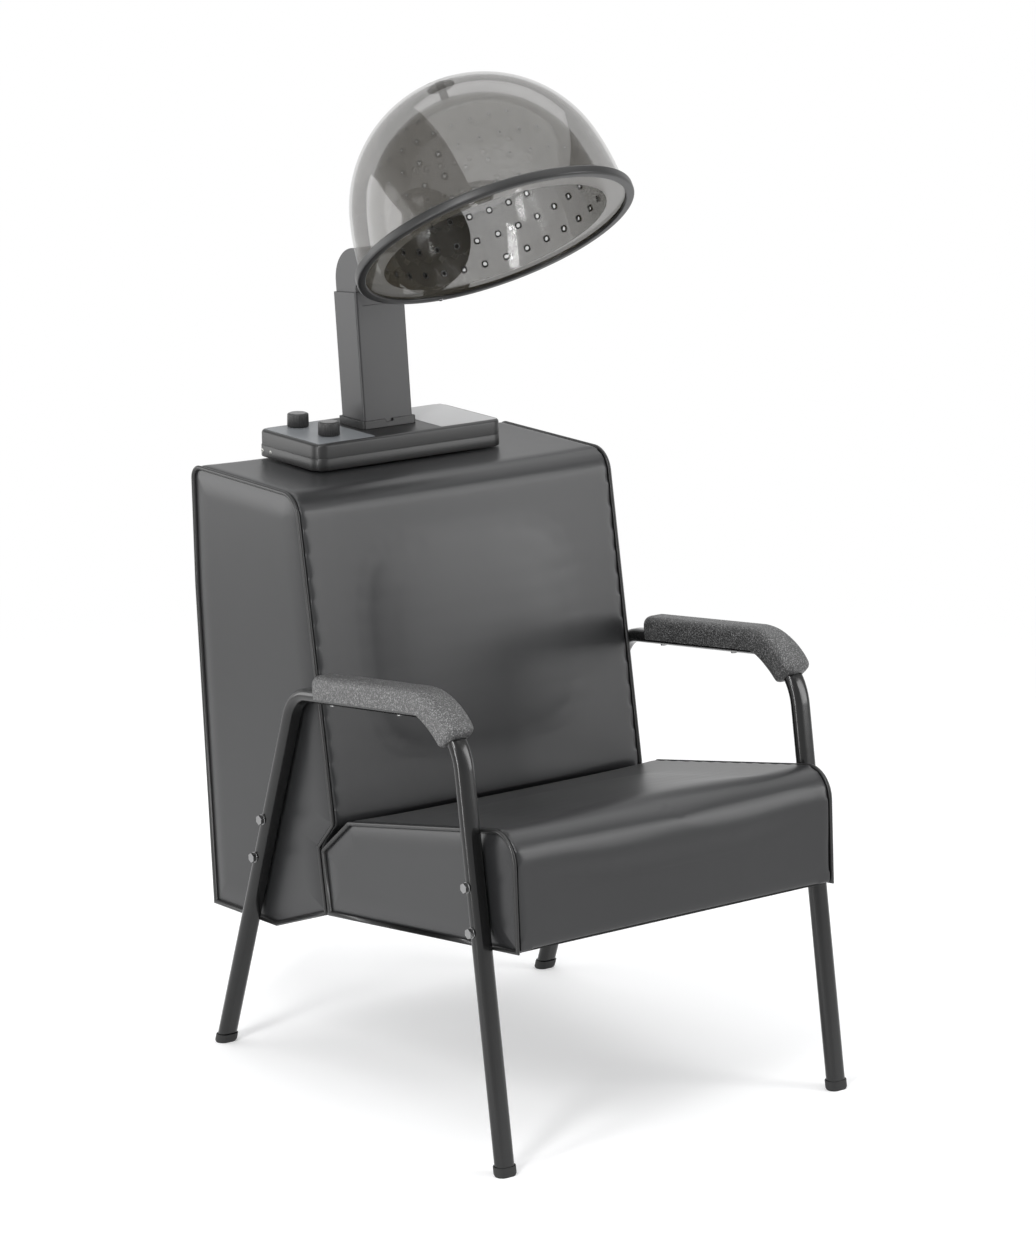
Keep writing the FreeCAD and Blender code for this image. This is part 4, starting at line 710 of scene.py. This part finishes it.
def pad_rings(x, corner_steps=6, run_steps=26, wrap_steps=34):
    """Rings of a pad round the tube's line, each a rounded rectangle; both ends are drawn in like a ball."""
    front, bend, rear_bend = frame_corners[:3]
    arm = unit(rear_bend - bend)
    up = np.array([-arm[1], arm[0]])
    half, centre, bend_start = corner_arc(rear_bend, bend, front, frame_radii[1])
    rear = rear_bend - arm * pad_setback
    run = np.linspace(0, 1, run_steps) ** run_crowding
    turn = np.radians(pad_wrap) * np.linspace(0, 1, wrap_steps)[1:]
    bent = spun(bend_start - centre, turn)
    places = np.concatenate([rear + (bend_start - rear) * run[:, None], centre + bent])
    ups = np.concatenate([np.repeat(up[None], run_steps, 0), unit(bent)])
    share = np.concatenate([np.zeros(run_steps), np.linspace(0, 1, wrap_steps)[1:]])
    top = pad_height * smooth_shares(share, wrap_places, wrap_top)
    low = pad_least + (pad_under - pad_least) * smooth_shares(share, wrap_places, wrap_under)
    width = pad_width * smooth_shares(share, wrap_places, wrap_width)
    travel = np.concatenate([[0], np.cumsum(np.linalg.norm(np.diff(places, axis=0), axis=1))])
    from_end = np.minimum(travel, travel[-1] - travel)
    drawn = 1 - np.sqrt(1 - np.clip(1 - from_end / pad_end_round, 0, 1) ** 2 * end_blunt)
    top = top - pad_end_round * drawn
    width = width - 2 * pad_end_round * drawn * side_draw
    low = np.maximum(low - pad_end_round * drawn * (share > 0), pad_least)
    corner = np.minimum(pad_corner, top * corner_share)
    edge = np.clip(low * edge_share, 1.0, pad_corner)
    quarter = np.linspace(0, np.pi / 2, corner_steps + 1)
    across, out = [], []
    for index, (sign, at_top) in enumerate(((1, False), (1, True), (-1, True), (-1, False))):
        radius = corner if at_top else edge
        level = top - radius if at_top else radius - low
        angle = quarter + (index - 1) * np.pi / 2
        across.append((sign * (width / 2 - radius))[:, None] + radius[:, None] * np.cos(angle))
        out.append(level[:, None] + radius[:, None] * np.sin(angle))
    across, out = np.concatenate(across, 1), np.concatenate(out, 1)
    rings = np.empty((*across.shape, 3))
    rings[..., 0] = x + across
    rings[..., 1:] = places[:, None] + out[..., None] * ups[:, None]
    return rings


# %% [markdown]
# Cutting one closed mesh out of another is a Boolean. The result is taken from the evaluated object, so no
# live modifier stays behind.

# %% Cutting and the pads themselves
def with_modifier(mesh, kind, **settings):
    """The mesh that one modifier makes of a mesh."""
    thing = in_scene("working copy", mesh)
    modifier = thing.modifiers.new(kind, kind)
    for key, value in settings.items():
        setattr(modifier, key, value)
    made = bpy.data.meshes.new_from_object(thing.evaluated_get(bpy.context.evaluated_depsgraph_get()))
    bpy.data.objects.remove(thing)
    return made


def carved(mesh, tool):
    """The mesh less the space of a closed tool."""
    cutter = in_scene("cutter", tool)
    made = with_modifier(mesh, "BOOLEAN", object=cutter, operation="DIFFERENCE", solver="EXACT")
    bpy.data.objects.remove(cutter)
    return made


for side_name, side in sides:
    x = side * frame_x
    pad = carved(capped("pad_shape_" + side_name, metres(pad_rings(x))), tube_along("tube_room", x, fit_gap))
    pad.name = "arm_pad_" + side_name
    piece(pad.name, pad, "chair", pad_skin, ("armrest_pad_" + side_name,), 50)
for node in ("armrest_screws", "frame_bolts", "frame_washers"):
    finer(node, chrome, 0.5, 3)

# %% [markdown]
# ## Outlines of seat and back
# Seat and back share one construction: a padded body between two side panels, with a round welt sewn into each
# side seam. These are the outlines in the side view, in drawing millimetres. The seat's rear edge keeps a small
# gap to the back's seam, and the back's lip hangs over it.

# %% Seat and back in the side view
welt_radius = 2.8
welt_x = frame_x - tube_width / 2 - 0.7 - welt_radius
body_half = welt_x - welt_radius - fit_gap
panel_half = welt_x + welt_radius
panel_inset = 2 * welt_radius + 0.6

back_outline = np.array([(105.0, 259.0), (122.0, 357.0), (84.0, 398.0), (169.3, 874.0), (451.5, 874.0),
                         (446.0, 690.0), (411.0, 201.0), (239.6, 207.9)])
back_radii = (5, 2, 10, 40, 21, 0, 5, 0)
back_line_foot = crossing(back_outline[2], back_outline[3], back_outline[7], back_outline[0])
back_core = np.array([back_line_foot, *back_outline[3:8]])
back_board = offset(back_core, (-60, -14, -14, -14, -2, -2))

seam_gap = 5.0
seam = back_outline[:2] + unit([-98.0, 17.0]) * seam_gap
seat_outline = np.array([(-369.0, 319.0), (-359.4, 496.0), (47.0, 414.0), at_height(*seam, 356.0),
                         at_height(*seam, 259.0)])
seat_radii = (5, 45, 14, 8, 5)
bodies = (("seat", seat_outline, seat_radii), ("back", back_outline, back_radii))
print("seat outline corners", seat_outline.round(1).tolist())


def inset_radii(radii, distance):
    return [max(radius - distance, 2.0) if radius else 0 for radius in radii]


# %% [markdown]
# ## Side panels
# Each side panel is a thin pad over the board inside, sewn to the welt at its edge and swelling to a flat
# middle. It is a stack of its own outline, each ring a little further in and a little further out: with the
# share t of the way in, the height is depth * (1 - (1 - t)^2.3), steep at the seam and level in the middle.

# %% Side panels
panel_depth = 5.5
panel_run = 40.0
panel_crowding = 1.4
swell_power = 2.3


def side_panel(name, outline, radii, side, rings=14):
    """A closed pad between the body's end and the panel's face."""
    share = np.linspace(0, 1, rings) ** panel_crowding
    run = panel_inset + panel_run * share
    swell = panel_half - panel_depth * (1 - share) ** swell_power
    loops = [standing(rounded(inset(outline, distance), inset_radii(radii, distance), 6), side * x)
             for x, distance in [(body_half, panel_inset), *zip(swell, run)]]
    return capped(name, metres(np.stack(loops)))


for side_name, side in sides:
    for part, outline, radii in bodies:
        name = part + "_panel_" + side_name
        panel = side_panel(name, outline, radii, side)
        piece(name, panel, "chair", vinyl, (part + "_side_" + side_name,), 50)

# %% [markdown]
# ## Welts
# The welt is a cord in a sewn vinyl tube. Its section is a circle with a flat tail, the sewn flange that lies
# between the two covers and closes the seam. It is carried along the seam's line, which runs one radius inside
# the outline. Its tightest corners are mitred because a cord can't bend round less than its radius.

# %% Welts
flange_step = 0.6
flange_edge = 1.2
flange_short = 0.1


def welt_section(side, steps=14):
    """(across, out) points: a good half of a circle, then the flange on the body's side, pointing inward."""
    turn = np.linspace(-np.pi / 4, np.pi, steps)
    cord = np.stack([welt_radius * np.cos(turn), welt_radius * np.sin(turn)], -1)
    near, deep = welt_radius + fit_gap * 0.7, panel_inset - welt_radius - flange_short
    flange = np.array([(-near, -flange_step), (-near, -deep), (flange_edge, -deep)])
    return np.concatenate([cord, flange]) * (side, 1)


for part, outline, radii in bodies:
    line = inset(outline, welt_radius)
    inner_radii = [radius if radius > welt_radius else 0 for radius in inset_radii(radii, welt_radius)]
    join = (line[0] + line[-1]) / 2
    line = rounded(np.array([join, *line, join]), (0, *inner_radii, 0), 10, False)
    for side_name, side in sides:
        name = part + "_welt_" + side_name
        mesh = capped(name, metres(carried(line, welt_section(side), side * welt_x)))
        piece(name, mesh, "chair", welt_vinyl, (part + "_piping_" + side_name,), 60)

# %% [markdown]
# ## Cushions
# A cushion is vinyl stretched over foam. It starts as the outline carried across the chair, a little slimmer in
# the middle than it should be, and is remeshed into even small squares. Then it is blown up gently by a cloth
# simulation: the seams at both sides and the edge that is stapled underneath hold still, and no point may move
# further than a cap, so that the cover swells evenly and pulls in towards its seams. The boards' own space is
# cut out first, a little wider than the boards because the squares round its corners off. One subdivision at
# the end smooths the skin.

# %% Cushion helpers
voxel = 0.006
board_gap = 2.0
least_radius = 3.0
slim_least = 0.01
room_past_side = 5


def loft_across(name, outline, radii, slim, stations=21):
    """The outline carried from side to side, moved in by slim * (1 - share^4) at a share of the half width."""
    radii = [max(radius, least_radius) for radius in radii]
    loops = [standing(rounded(inset(outline, slim * (1 - share ** 4) + slim_least), radii), share * body_half)
             for share in np.linspace(-1, 1, stations)]
    return capped(name, metres(np.stack(loops)))


def coordinates(mesh):
    """All points of a mesh as an array."""
    points = np.empty(len(mesh.vertices) * 3, np.float32)
    mesh.vertices.foreach_get("co", points)
    return points.reshape(-1, 3).astype(float)


def blown(mesh, still, cap, pressure=4.0, frames=20):
    """A mesh swollen by air pressure; still holds each point by 0 to 1, cap is the furthest it may move."""
    thing = in_scene("cushion at work", mesh)
    hold = thing.vertex_groups.new(name="hold")
    still = np.round(still, 1)
    for weight in np.unique(still[still > 0]):
        hold.add(np.flatnonzero(still == weight).tolist(), float(weight), "REPLACE")
    cloth = thing.modifiers.new("cloth", "CLOTH")
    cloth.settings.use_pressure = True
    cloth.settings.uniform_pressure_force = pressure
    cloth.settings.vertex_group_mass = "hold"
    cloth.settings.effector_weights.gravity = 0
    cloth.settings.quality = 4
    cloth.point_cache.frame_start = 1
    cloth.point_cache.frame_end = frames
    for frame_number in range(1, frames + 1):
        scene.frame_set(frame_number)
    result = thing.evaluated_get(bpy.context.evaluated_depsgraph_get()).to_mesh()
    moved = coordinates(result)
    thing.modifiers.remove(cloth)
    bpy.data.objects.remove(thing)
    scene.frame_set(1)
    start = coordinates(mesh)
    step = moved - start
    length = np.linalg.norm(step, axis=1, keepdims=True)
    step *= np.minimum(1, cap[:, None] / np.maximum(length, 1e-9))
    mesh.vertices.foreach_set("co", (start + step).astype(np.float32).ravel())
    mesh.update()
    print("swelled by up to %.1f mm" % (np.linalg.norm(step, axis=1).max() * 1000))
    return mesh


def ramp(values, low, high):
    """0 at low, 1 at high, with soft ends: t * t * (3 - 2t)."""
    t = np.clip((values - low) / (high - low), 0, 1)
    return t * t * (3 - 2 * t)


def bulge(values, low, high, power=4):
    """1 in the middle and 0 at both ends, with no flat top: 1 - |t|^power, where t runs from -1 to 1."""
    t = np.clip((2 * values - low - high) / (high - low), -1, 1)
    return 1 - np.abs(t) ** power


def cushion(name, outline, radii, swell, hold_line, room, stands_for, slim=3.0):
    """One upholstered body: hold_line(y, z) is 0 where the cover can't move and 1 where it moves freely."""
    hollow = side_prism(name + "_room", room, body_half + room_past_side)
    mesh = carved(loft_across(name, outline, radii, slim), hollow)
    mesh = with_modifier(mesh, "REMESH", mode="VOXEL", voxel_size=voxel, adaptivity=0.0)
    points = coordinates(mesh)
    side = bulge(points[:, 0] * 1000, -body_half, body_half)
    drawing = points[:, 1:] * 1000 - np.array([drawing_shift * 1000, 0])
    free = side * hold_line(drawing[:, 0], drawing[:, 1])
    mesh = blown(mesh, 1 - free, swell * 0.001 * free)
    mesh = with_modifier(mesh, "SUBSURF", levels=1, render_levels=1)
    mesh.name = name
    piece(name, mesh, "chair", vinyl, stands_for, 60)


# %% [markdown]
# The seat rests on its board, so its hollow is the board's box opened downwards. Its cover is free on top and
# a little on the front, and holds still underneath and where the back's lip lies over its rear slope.

# %% Seat cushion
seat_front_line = offset(seat_outline, (-12, 0, 0, 0, 0))[:2]
rail_rise = 108.0
open_below = 20.0
underside = seat_outline[[0, 4]]
rail = underside + (0, rail_rise)
joint_reach = 44.0
lean = back_board[1] - back_board[0]
joint = back_board[:2] + unit([-lean[1], lean[0]]) * joint_reach
board_room = offset([crossing(*seat_front_line, *underside), crossing(*seat_front_line, *rail),
                     crossing(*joint, *rail), crossing(*joint, *underside)],
                    (board_gap, board_gap, board_gap, open_below))
still_line = ((-369.0, 319.0), (108.0, 259.0))
rise_fade = (10, 130)
lip_line = 60.0
lip_fade = 150


def seat_free(y, z):
    """Free on top and in front; still near the underside, and near the slope under the back's lip."""
    (front_y, front_z), (rear_y, rear_z) = still_line
    level = front_z + (y - front_y) * (rear_z - front_z) / (rear_y - front_y)
    return ramp(z - level, *rise_fade) * ramp(lip_line - y, 0, lip_fade)


cushion("seat_pad", seat_outline, seat_radii, 13.0, seat_free, board_room, ("seat_cushion",))

# %% [markdown]
# The back's cover wraps the front, the lip, the top and a short strip over the rear edge, where the rear panel
# is sewn on. The control base stands on the top, so the cover holds still there.

# %% Back cushion
strip_drop = 27.0
strip_level = back_outline[3, 1] - strip_drop
strip_edge = at_height(back_outline[5], back_outline[4], strip_level)
strip_inner = at_height(back_board[3], back_board[2], strip_level)
padded_board = offset(back_board, (board_gap, board_gap, board_gap, 0, 0, 0))
strip_corner = crossing(strip_edge, strip_inner, padded_board[2], padded_board[3])
foot_inner = crossing(padded_board[0], padded_board[1], back_outline[7], back_outline[0])
board_down = unit(padded_board[0] - padded_board[1])
past_foot = 60
past_rear = 80
behind_all = (520, 60)
back_room = np.array([foot_inner + board_down * past_foot, padded_board[1], padded_board[2], strip_corner,
                      strip_corner + (past_rear, 0), behind_all])
front_span = (400, 866)
front_depth = 60.0
front_fade = 30


def back_free(y, z):
    """Free on the front face; still near the lip, the foot, the top and everything behind."""
    (low_y, low_z), (high_y, high_z) = back_outline[2:4]
    front = low_y + (z - low_z) * (high_y - low_y) / (high_z - low_z)
    return bulge(z, *front_span) * ramp(front + front_depth - y, 0, front_fade)


cushion("back_pad", back_outline, back_radii, 12.0, back_free, back_room, ("back_cushion",))

# %% [markdown]
# ## Rear and underside
# The rear panel is vinyl over a board, with a louvred intake over a foam filter. Underneath, a thin black cloth
# closes both frames.

# %% Rear panel, grille and covers
finer("back_rear_panel", vinyl, 1.5, 3)
finer("intake_grille", base_plastic, 0.5, 2)
finer("air_filter", foam, 0.5, 1)
finer("cable_gland", rubber, 0.5, 2)
for node in ("seat_underside_cover", "back_underside_cover"):
    finer(node, cloth, 0.4, 1)

# %% [markdown]
# ## Control base, column and arm
# These are moulded and folded parts with flat faces, so bevelled copies of the solids carry their finish.

# %% Base, column and arm
base_corner = 20.0


def rounded_box_rings(low, high, corner, profile):
    """Rings of a box with round upright corners; profile is a row of (height, inset) in millimetres."""
    rings = []
    for level, inward in profile:
        x, y = low[:2] + inward * 0.001, high[:2] - inward * 0.001
        corners = [(x[0], x[1]), (y[0], x[1]), (y[0], y[1]), (x[0], y[1])]
        line = rounded(corners, [(corner - inward) * 0.001] * 4, 8)
        rings.append(np.roll(standing(line, low[2] + level * 0.001), -1, 1))
    return np.stack(rings)


tray_height = (tray_high[2] - tray_low[2]) * 1000
tray = rounded_box_rings(tray_low, tray_high, base_corner,
                         [(0, 1.2), (0.35, 0.35), (1.2, 0), (tray_height - 0.8, 0), (tray_height, 0.6)])
piece("tray_shell", capped("tray_shell", tray), "chair", base_plastic, ("base_tray",), 40)
finer("base_cover", base_plastic, 1.2, 3, angle=40)
finer("control_plate", plate_grey, 0.25, 2)
finer("side_plate", plate_silver, 0.25, 2)
finer("column_sleeve", column_paint, 2.2, 4)
finer("column_collar", base_plastic, 0.8, 3)
finer("arm_duct", column_paint, 1.0, 3)
finer("hinge_pin", steel, 0.6, 2)
finer("friction_washers", friction, 0, 1)

# %% [markdown]
# ## Knobs
# A knob is a fluted drum with a little draft and a rounded top edge. Its radius falls and rises with the
# cosine of 30 times the angle. A light cap with a raised pointer closes it.

# %% Knobs
knob_radius = 16.4
knob_height = 19.0
knob_draft = 0.4
knob_flutes = 30
flute_depth = 0.35
knob_profile = ((0, -0.4, 1), (0.4, 0, 1), (knob_height - 1.4, -knob_draft, 1),
                (knob_height - 0.5, -knob_draft - 0.25, 0.6), (knob_height - 0.12, -knob_draft - 0.7, 0.2),
                (knob_height, -knob_draft - 1.2, 0), (knob_height, -5, 0))


def knob_mesh(name, node):
    """Rings for the profile's rows of level, reach past the radius and share of the flutes' depth."""
    low, high = box_of(node)
    middle = (low + high) / 2
    angle = full_turn(knob_flutes * 8)
    wave = 0.5 - 0.5 * np.cos(knob_flutes * angle)
    level, reach, fluted = np.array(knob_profile).T[..., None]
    rings = round_about(knob_radius + reach - fluted * flute_depth * wave, angle, level)
    return capped(name, rings * 0.001 + (middle[0], middle[1], low[2]))


for knob in ("timer", "heat"):
    name, node = knob + "_dial", knob + "_knob"
    piece(name, knob_mesh(name, node), node, knob_black, (node,), 50)
    finer(knob + "_knob_cap", cap_grey, 0.4, 2)
    finer(knob + "_spindle", steel, 0, 1)

# %% [markdown]
# ## The hood's own axes
# The hood is drawn upright about the middle of its rim's underside and then tilted back. A dome's profile is
# two arcs: a long flat one from the rim, 14 degrees of turn, and a rounder one up to the crown. Both radii
# follow from the rim's radius and the height, because the arcs touch and the crown is level.

# %% Dome profile
hood_tilt = math.radians(33.2)
hood_middle = (64.714, 1229.373)
dome_radius = 201.0
dome_level = 6.9
dome_top = 248.0
dome_wall = 4.0
dome_spacing = 29.0
inner_wall = 3.0
skirt_turn = math.radians(14.0)
rise = dome_top - dome_level
spread = (1 - math.cos(skirt_turn)) / math.cos(skirt_turn)
skirt_arc = ((rise - (1 - math.sin(skirt_turn)) * dome_radius / math.cos(skirt_turn))
             / (math.sin(skirt_turn) - (1 - math.sin(skirt_turn)) * spread))
crown_arc = (dome_radius - skirt_arc * (1 - math.cos(skirt_turn))) / math.cos(skirt_turn)
print("dome arcs %.1f and %.1f mm" % (skirt_arc, crown_arc))


def hood_place(points):
    """Hood coordinates to the chair's: turned back by the tilt, then set on the hood's middle."""
    points = np.asarray(points, float)
    y = hood_middle[0] + points[..., 1] * math.cos(hood_tilt) + points[..., 2] * math.sin(hood_tilt)
    z = hood_middle[1] - points[..., 1] * math.sin(hood_tilt) + points[..., 2] * math.cos(hood_tilt)
    return metres(np.stack([points[..., 0], y, z], -1))


def dome_point(angle, outward_by):
    """Radius and level at a profile angle, 0 at the rim and 90 degrees at the crown, moved outward."""
    angle = np.asarray(angle, float)
    on_skirt = angle < skirt_turn
    arc = np.where(on_skirt, skirt_arc, crown_arc)
    centre_r = dome_radius - skirt_arc + np.where(on_skirt, 0, (skirt_arc - crown_arc) * math.cos(skirt_turn))
    centre_z = dome_level + np.where(on_skirt, 0, (skirt_arc - crown_arc) * math.sin(skirt_turn))
    radius = centre_r + (arc + outward_by) * np.cos(angle)
    return np.where(angle > math.pi / 2 - 1e-9, 0.0, radius), centre_z + (arc + outward_by) * np.sin(angle)


def revolved(name, radius, level, around=128, loop=False):
    """A profile of radii and levels turned about the hood's axis; loop joins its last row to its first."""
    if loop:
        radius, level = np.append(radius, radius[0]), np.append(level, level[0])
    points = round_about(radius[:, None], full_turn(around), level[:, None])
    return tidy(mesh_of(name, hood_place(points), [grid_faces(len(radius), around)]))


# %% [markdown]
# ## Outer dome
# One chain of points makes the whole shell: down the outer face from the crown, across the rim's edge and up
# the inner face, so that the wall is real and both of its faces reflect.

# %% Outer dome
profile_angles = np.concatenate([np.linspace(math.pi / 2, skirt_turn, 34), np.linspace(skirt_turn, 0, 9)[1:]])
outer_r, outer_z = dome_point(profile_angles, 0)
wall_r, wall_z = dome_point(profile_angles[::-1], -dome_wall)
mesh = revolved("smoke_dome", np.concatenate([outer_r, wall_r]), np.concatenate([outer_z, wall_z]))
piece("smoke_dome", mesh, "hood", smoke_outer, ("outer_dome",), 40)

# %% [markdown]
# ## Inner dome
# The inner dome blows the air through rows of small holes. Each hole is a cell: four rings of sixteen points,
# from the hole's circle to the cell's square edge. The cell is laid out flat, by angle round the hood and by
# length along the profile, moved to its place, and only then wrapped onto the dome. Both faces of the wall and
# the hole's own wall come from the same cells. The faces round each hole's edge get a near-opaque dark smoke,
# painted shade that draws a dark ring round every hole, so that the rows show.

# %% Inner dome
hole_columns = 32
hole_levels = (26.5, 63.0, 99.5, 136.0, 172.5)
hole_radius = 3.1
cell_points = 16
ring_shares = (0, 0.12, 0.5, 1)
flange_low, flange_high = 3.6, 6.6
flange_radius = 204.0


def length_at(angle):
    """Length along the inner dome's outer profile from the rim up to an angle."""
    low = np.minimum(angle, skirt_turn) * (skirt_arc - dome_spacing)
    return low + np.maximum(angle - skirt_turn, 0) * (crown_arc - dome_spacing)


angle_table = np.linspace(0, math.pi / 2, 2000)
length_table = length_at(angle_table)


def wrapped(turn, length, outward_by):
    """Angle round the hood and length up the profile to a point of the dome."""
    radius, level = dome_point(np.interp(length, length_table, angle_table), outward_by)
    return round_about(radius, turn, level)


def square_edge(count):
    """Points round the edge of a square from -1 to 1, as many on every side, from the right side's middle."""
    share = np.arange(count) / count * 8
    return np.stack([np.clip(2 - np.abs((share + shift) % 8 - 4), -1, 1) for shift in (4, 2)], -1)


def perforated(name):
    """The pierced wall: cells round the holes, the crown above them, and the foot with the mouth's flange."""
    points, faces = [], []

    def put(grid):
        """Adds rows of points whose last column joins the first."""
        faces.append(grid_faces(*grid.shape[:2], sum(map(len, points))))
        points.append(grid.reshape(-1, 3))

    row_lengths = np.interp(hole_levels, dome_point(angle_table, -dome_spacing)[1], length_table)
    pitch = np.diff(row_lengths).mean()
    edges = np.concatenate([[row_lengths[0] - pitch / 2], (row_lengths[1:] + row_lengths[:-1]) / 2,
                            [row_lengths[-1] + pitch / 2]])
    cell_turn = 2 * np.pi / hole_columns
    middles = (np.arange(hole_columns) + 0.5) * cell_turn + np.pi / 2
    square = square_edge(cell_points)
    spin = full_turn(cell_points)
    skins = (-dome_spacing, -dome_spacing - inner_wall)
    share = np.array(ring_shares)[:, None]
    for row, length in enumerate(row_lengths):
        radius = float(dome_point(np.interp(length, length_table, angle_table), -dome_spacing)[0])
        low, high = edges[row] - length, edges[row + 1] - length
        square_length = np.where(square[:, 1] > 0, square[:, 1] * high, -square[:, 1] * low)
        turn = hole_radius * np.cos(spin) / radius * (1 - share) + square[:, 0] * cell_turn / 2 * share
        along = hole_radius * np.sin(spin) * (1 - share) + square_length * share
        turn, along = np.concatenate([turn[::-1], turn]), np.concatenate([along[::-1], along])
        depth = np.repeat(skins, len(share))[:, None]
        for middle in middles:
            put(wrapped(middle + turn, length + along, depth))
    turns = full_turn(hole_columns * 4) + np.pi / 2
    top = np.linspace(np.interp(edges[-1], length_table, angle_table), math.pi / 2, 12)
    for skin in skins:
        put(wrapped(turns, np.interp(top, angle_table, length_table)[:, None], skin))
    foot = np.interp(np.linspace(edges[0], 0, 3), length_table, angle_table)
    chain_r, chain_z = dome_point(foot, skins[0])
    back_r, back_z = dome_point(foot[::-1], skins[1])
    chain_r = np.concatenate([chain_r, [chain_r[-1], flange_radius, flange_radius, back_r[0]], back_r])
    chain_z = np.concatenate([chain_z, [flange_high, flange_high, flange_low, flange_low], back_z])
    put(round_about(chain_r[:, None], turns, chain_z[:, None]))
    mesh = tidy(mesh_of(name, hood_place(np.concatenate(points)), faces), 2e-5)
    bands = 2 * len(share) - 1
    face = np.arange(len(mesh.polygons))
    in_cells = face < len(row_lengths) * hole_columns * bands * cell_points
    # The second value marks the faces next to each hole's edge, which take the painted shade ring.
    return mesh, in_cells & (np.abs(face // cell_points % bands - bands // 2) <= 1)


inner, shaded_ring_faces = perforated("hole_dome")
piece("hole_dome", inner, "hood", smoke_inner, ("inner_dome",), 40)
# The faces next to each hole's edge take the dark smoke: a painted shade ring, not a different plastic.
inner.materials.append(hole_ring_painted_shade)
inner.polygons.foreach_set("material_index", shaded_ring_faces.astype(np.int32))
inner.update()
print("faces at the holes' edges:", int(shaded_ring_faces.sum()))

# %% [markdown]
# ## Rim, neck, plenum and plug
# The rim is a moulded ring that grips the dome's edge and the inner dome's flange, so its section is a hooked
# outline turned about the axis. The dark plenum behind the holes is seen through both domes.

# %% Rim ring
ring_section = rounded([(198.0, 0.0), (211.0, 0.0), (211.0, 13.5), (201.5, 13.5), (201.5, 6.9), (204.3, 6.9),
                        (204.3, 3.6), (198.0, 3.6)], (1.6, 3.4, 2.6, 0.6, 0.2, 0.2, 0.2, 0.6), 6)
mesh = revolved("rim_band", ring_section[:, 0], ring_section[:, 1], 160, True)
piece("rim_band", mesh, "hood", base_plastic, ("rim_ring",), 50)

# %% Neck, plenum and crown plug
finer("hood_neck", column_paint, 0.8, 3)
finer("air_plenum", plenum_black, 0.6, 2, angle=40)
plug_profile = np.array([(0, 251.6), (8, 251.5), (14, 251.0), (18, 250.2), (19.8, 249.4), (20.5, 248.3),
                         (20.3, 247.2), (16, 247.6), (6, 248.3), (6, 219.6), (0, 219.6)])
piece("crown_button", revolved("crown_button", *plug_profile.T, 48), "hood", plug_black, ("crown_plug",),
      50)

# %% [markdown]
# ## Small screws
# Two self-tapping screws on each end of the control base hold tray and cover together, and one bright screw
# under the rim holds the ring. A pan head is a low dome, level = height * sqrt(1 - share^2), with a cross sunk
# into it wherever a point lies close to one of two lines through the middle.

# %% Screws
cross_half = 0.13
cross_floor = 0.35
base_screw = (0.0034, 0.0022)
rim_screw = (0.0032, 0.0026)
screw_rise = 0.0095
screw_sunk = 0.0012
rim_screw_reach = 204.5
rim_screw_turn = math.radians(84)
rim_screw_sunk = 0.4


def screw_head(name, place, outward, radius, height):
    """A pan head with a cross recess, standing at a place in metres and facing outward."""
    share = np.array([1.0, 1.0, 0.93, 0.8, 0.62, 0.56, 0.44, 0.32, 0.2, 0.1])[:, None]
    turn = full_turn(40)
    first_share, second_share = share * np.cos(turn), share * np.sin(turn)
    level = height * np.sqrt(np.clip(1 - (share * 0.9) ** 2, 0, 1)) + np.zeros(len(turn))
    level[0] = 0
    in_cross = (np.minimum(np.abs(first_share), np.abs(second_share)) < cross_half) & (share < 0.6)
    level = np.where(in_cross, height * cross_floor, level)
    outward = unit(outward)
    first = unit(np.cross(outward, (0.31, 0.17, 0.93)))
    second = np.cross(outward, first)
    rings = (np.asarray(place) + radius * (first_share[..., None] * first + second_share[..., None] * second)
             + level[..., None] * outward)
    return capped(name, rings)


for (side_name, side), places in zip(sides, ((408.0, 430.0), (298.0, 320.0))):
    for number, y in enumerate(places):
        name = "base_screw_%s_%d" % (side_name, number + 1)
        x = (tray_high if side > 0 else tray_low)[0] - side * screw_sunk
        place = (x, metres((0, y, 0))[1], tray_low[2] + screw_rise)
        piece(name, screw_head(name, place, (side, 0, 0), *base_screw), "chair", steel, (), 40)
rim_place = hood_place(round_about(rim_screw_reach, rim_screw_turn, rim_screw_sunk))
hood_down = (0, -math.sin(hood_tilt), -math.cos(hood_tilt))
piece("rim_screw", screw_head("rim_screw", rim_place, hood_down, *rim_screw), "hood", chrome, (), 40)

# %% [markdown]
# ## Hidden parts
# The frames, blower, heater and switches are inside, and show only when the model is opened. They keep their
# solids and get plain finishes of their own, except the frame boards: their near-black is painted shade, for
# where the seat's board peeks out under the cushion's front edge.

# %% Finishes inside
# The frame boards take the near-black painted shade; the other hidden parts keep plain finishes.
hidden_finishes = ((board_painted_shade, ("seat_frame", "back_frame")), (mica, ("heater_element",)),
                   (steel, ("seat_back_bolts", "blower_housing", "blower_motor", "impeller")),
                   (plate_grey, ("timer_body", "heat_switch")))
for material, nodes in hidden_finishes:
    for node in nodes:
        mesh = frame["nodes"][node].data
        mesh.materials.clear()
        mesh.materials.append(material)
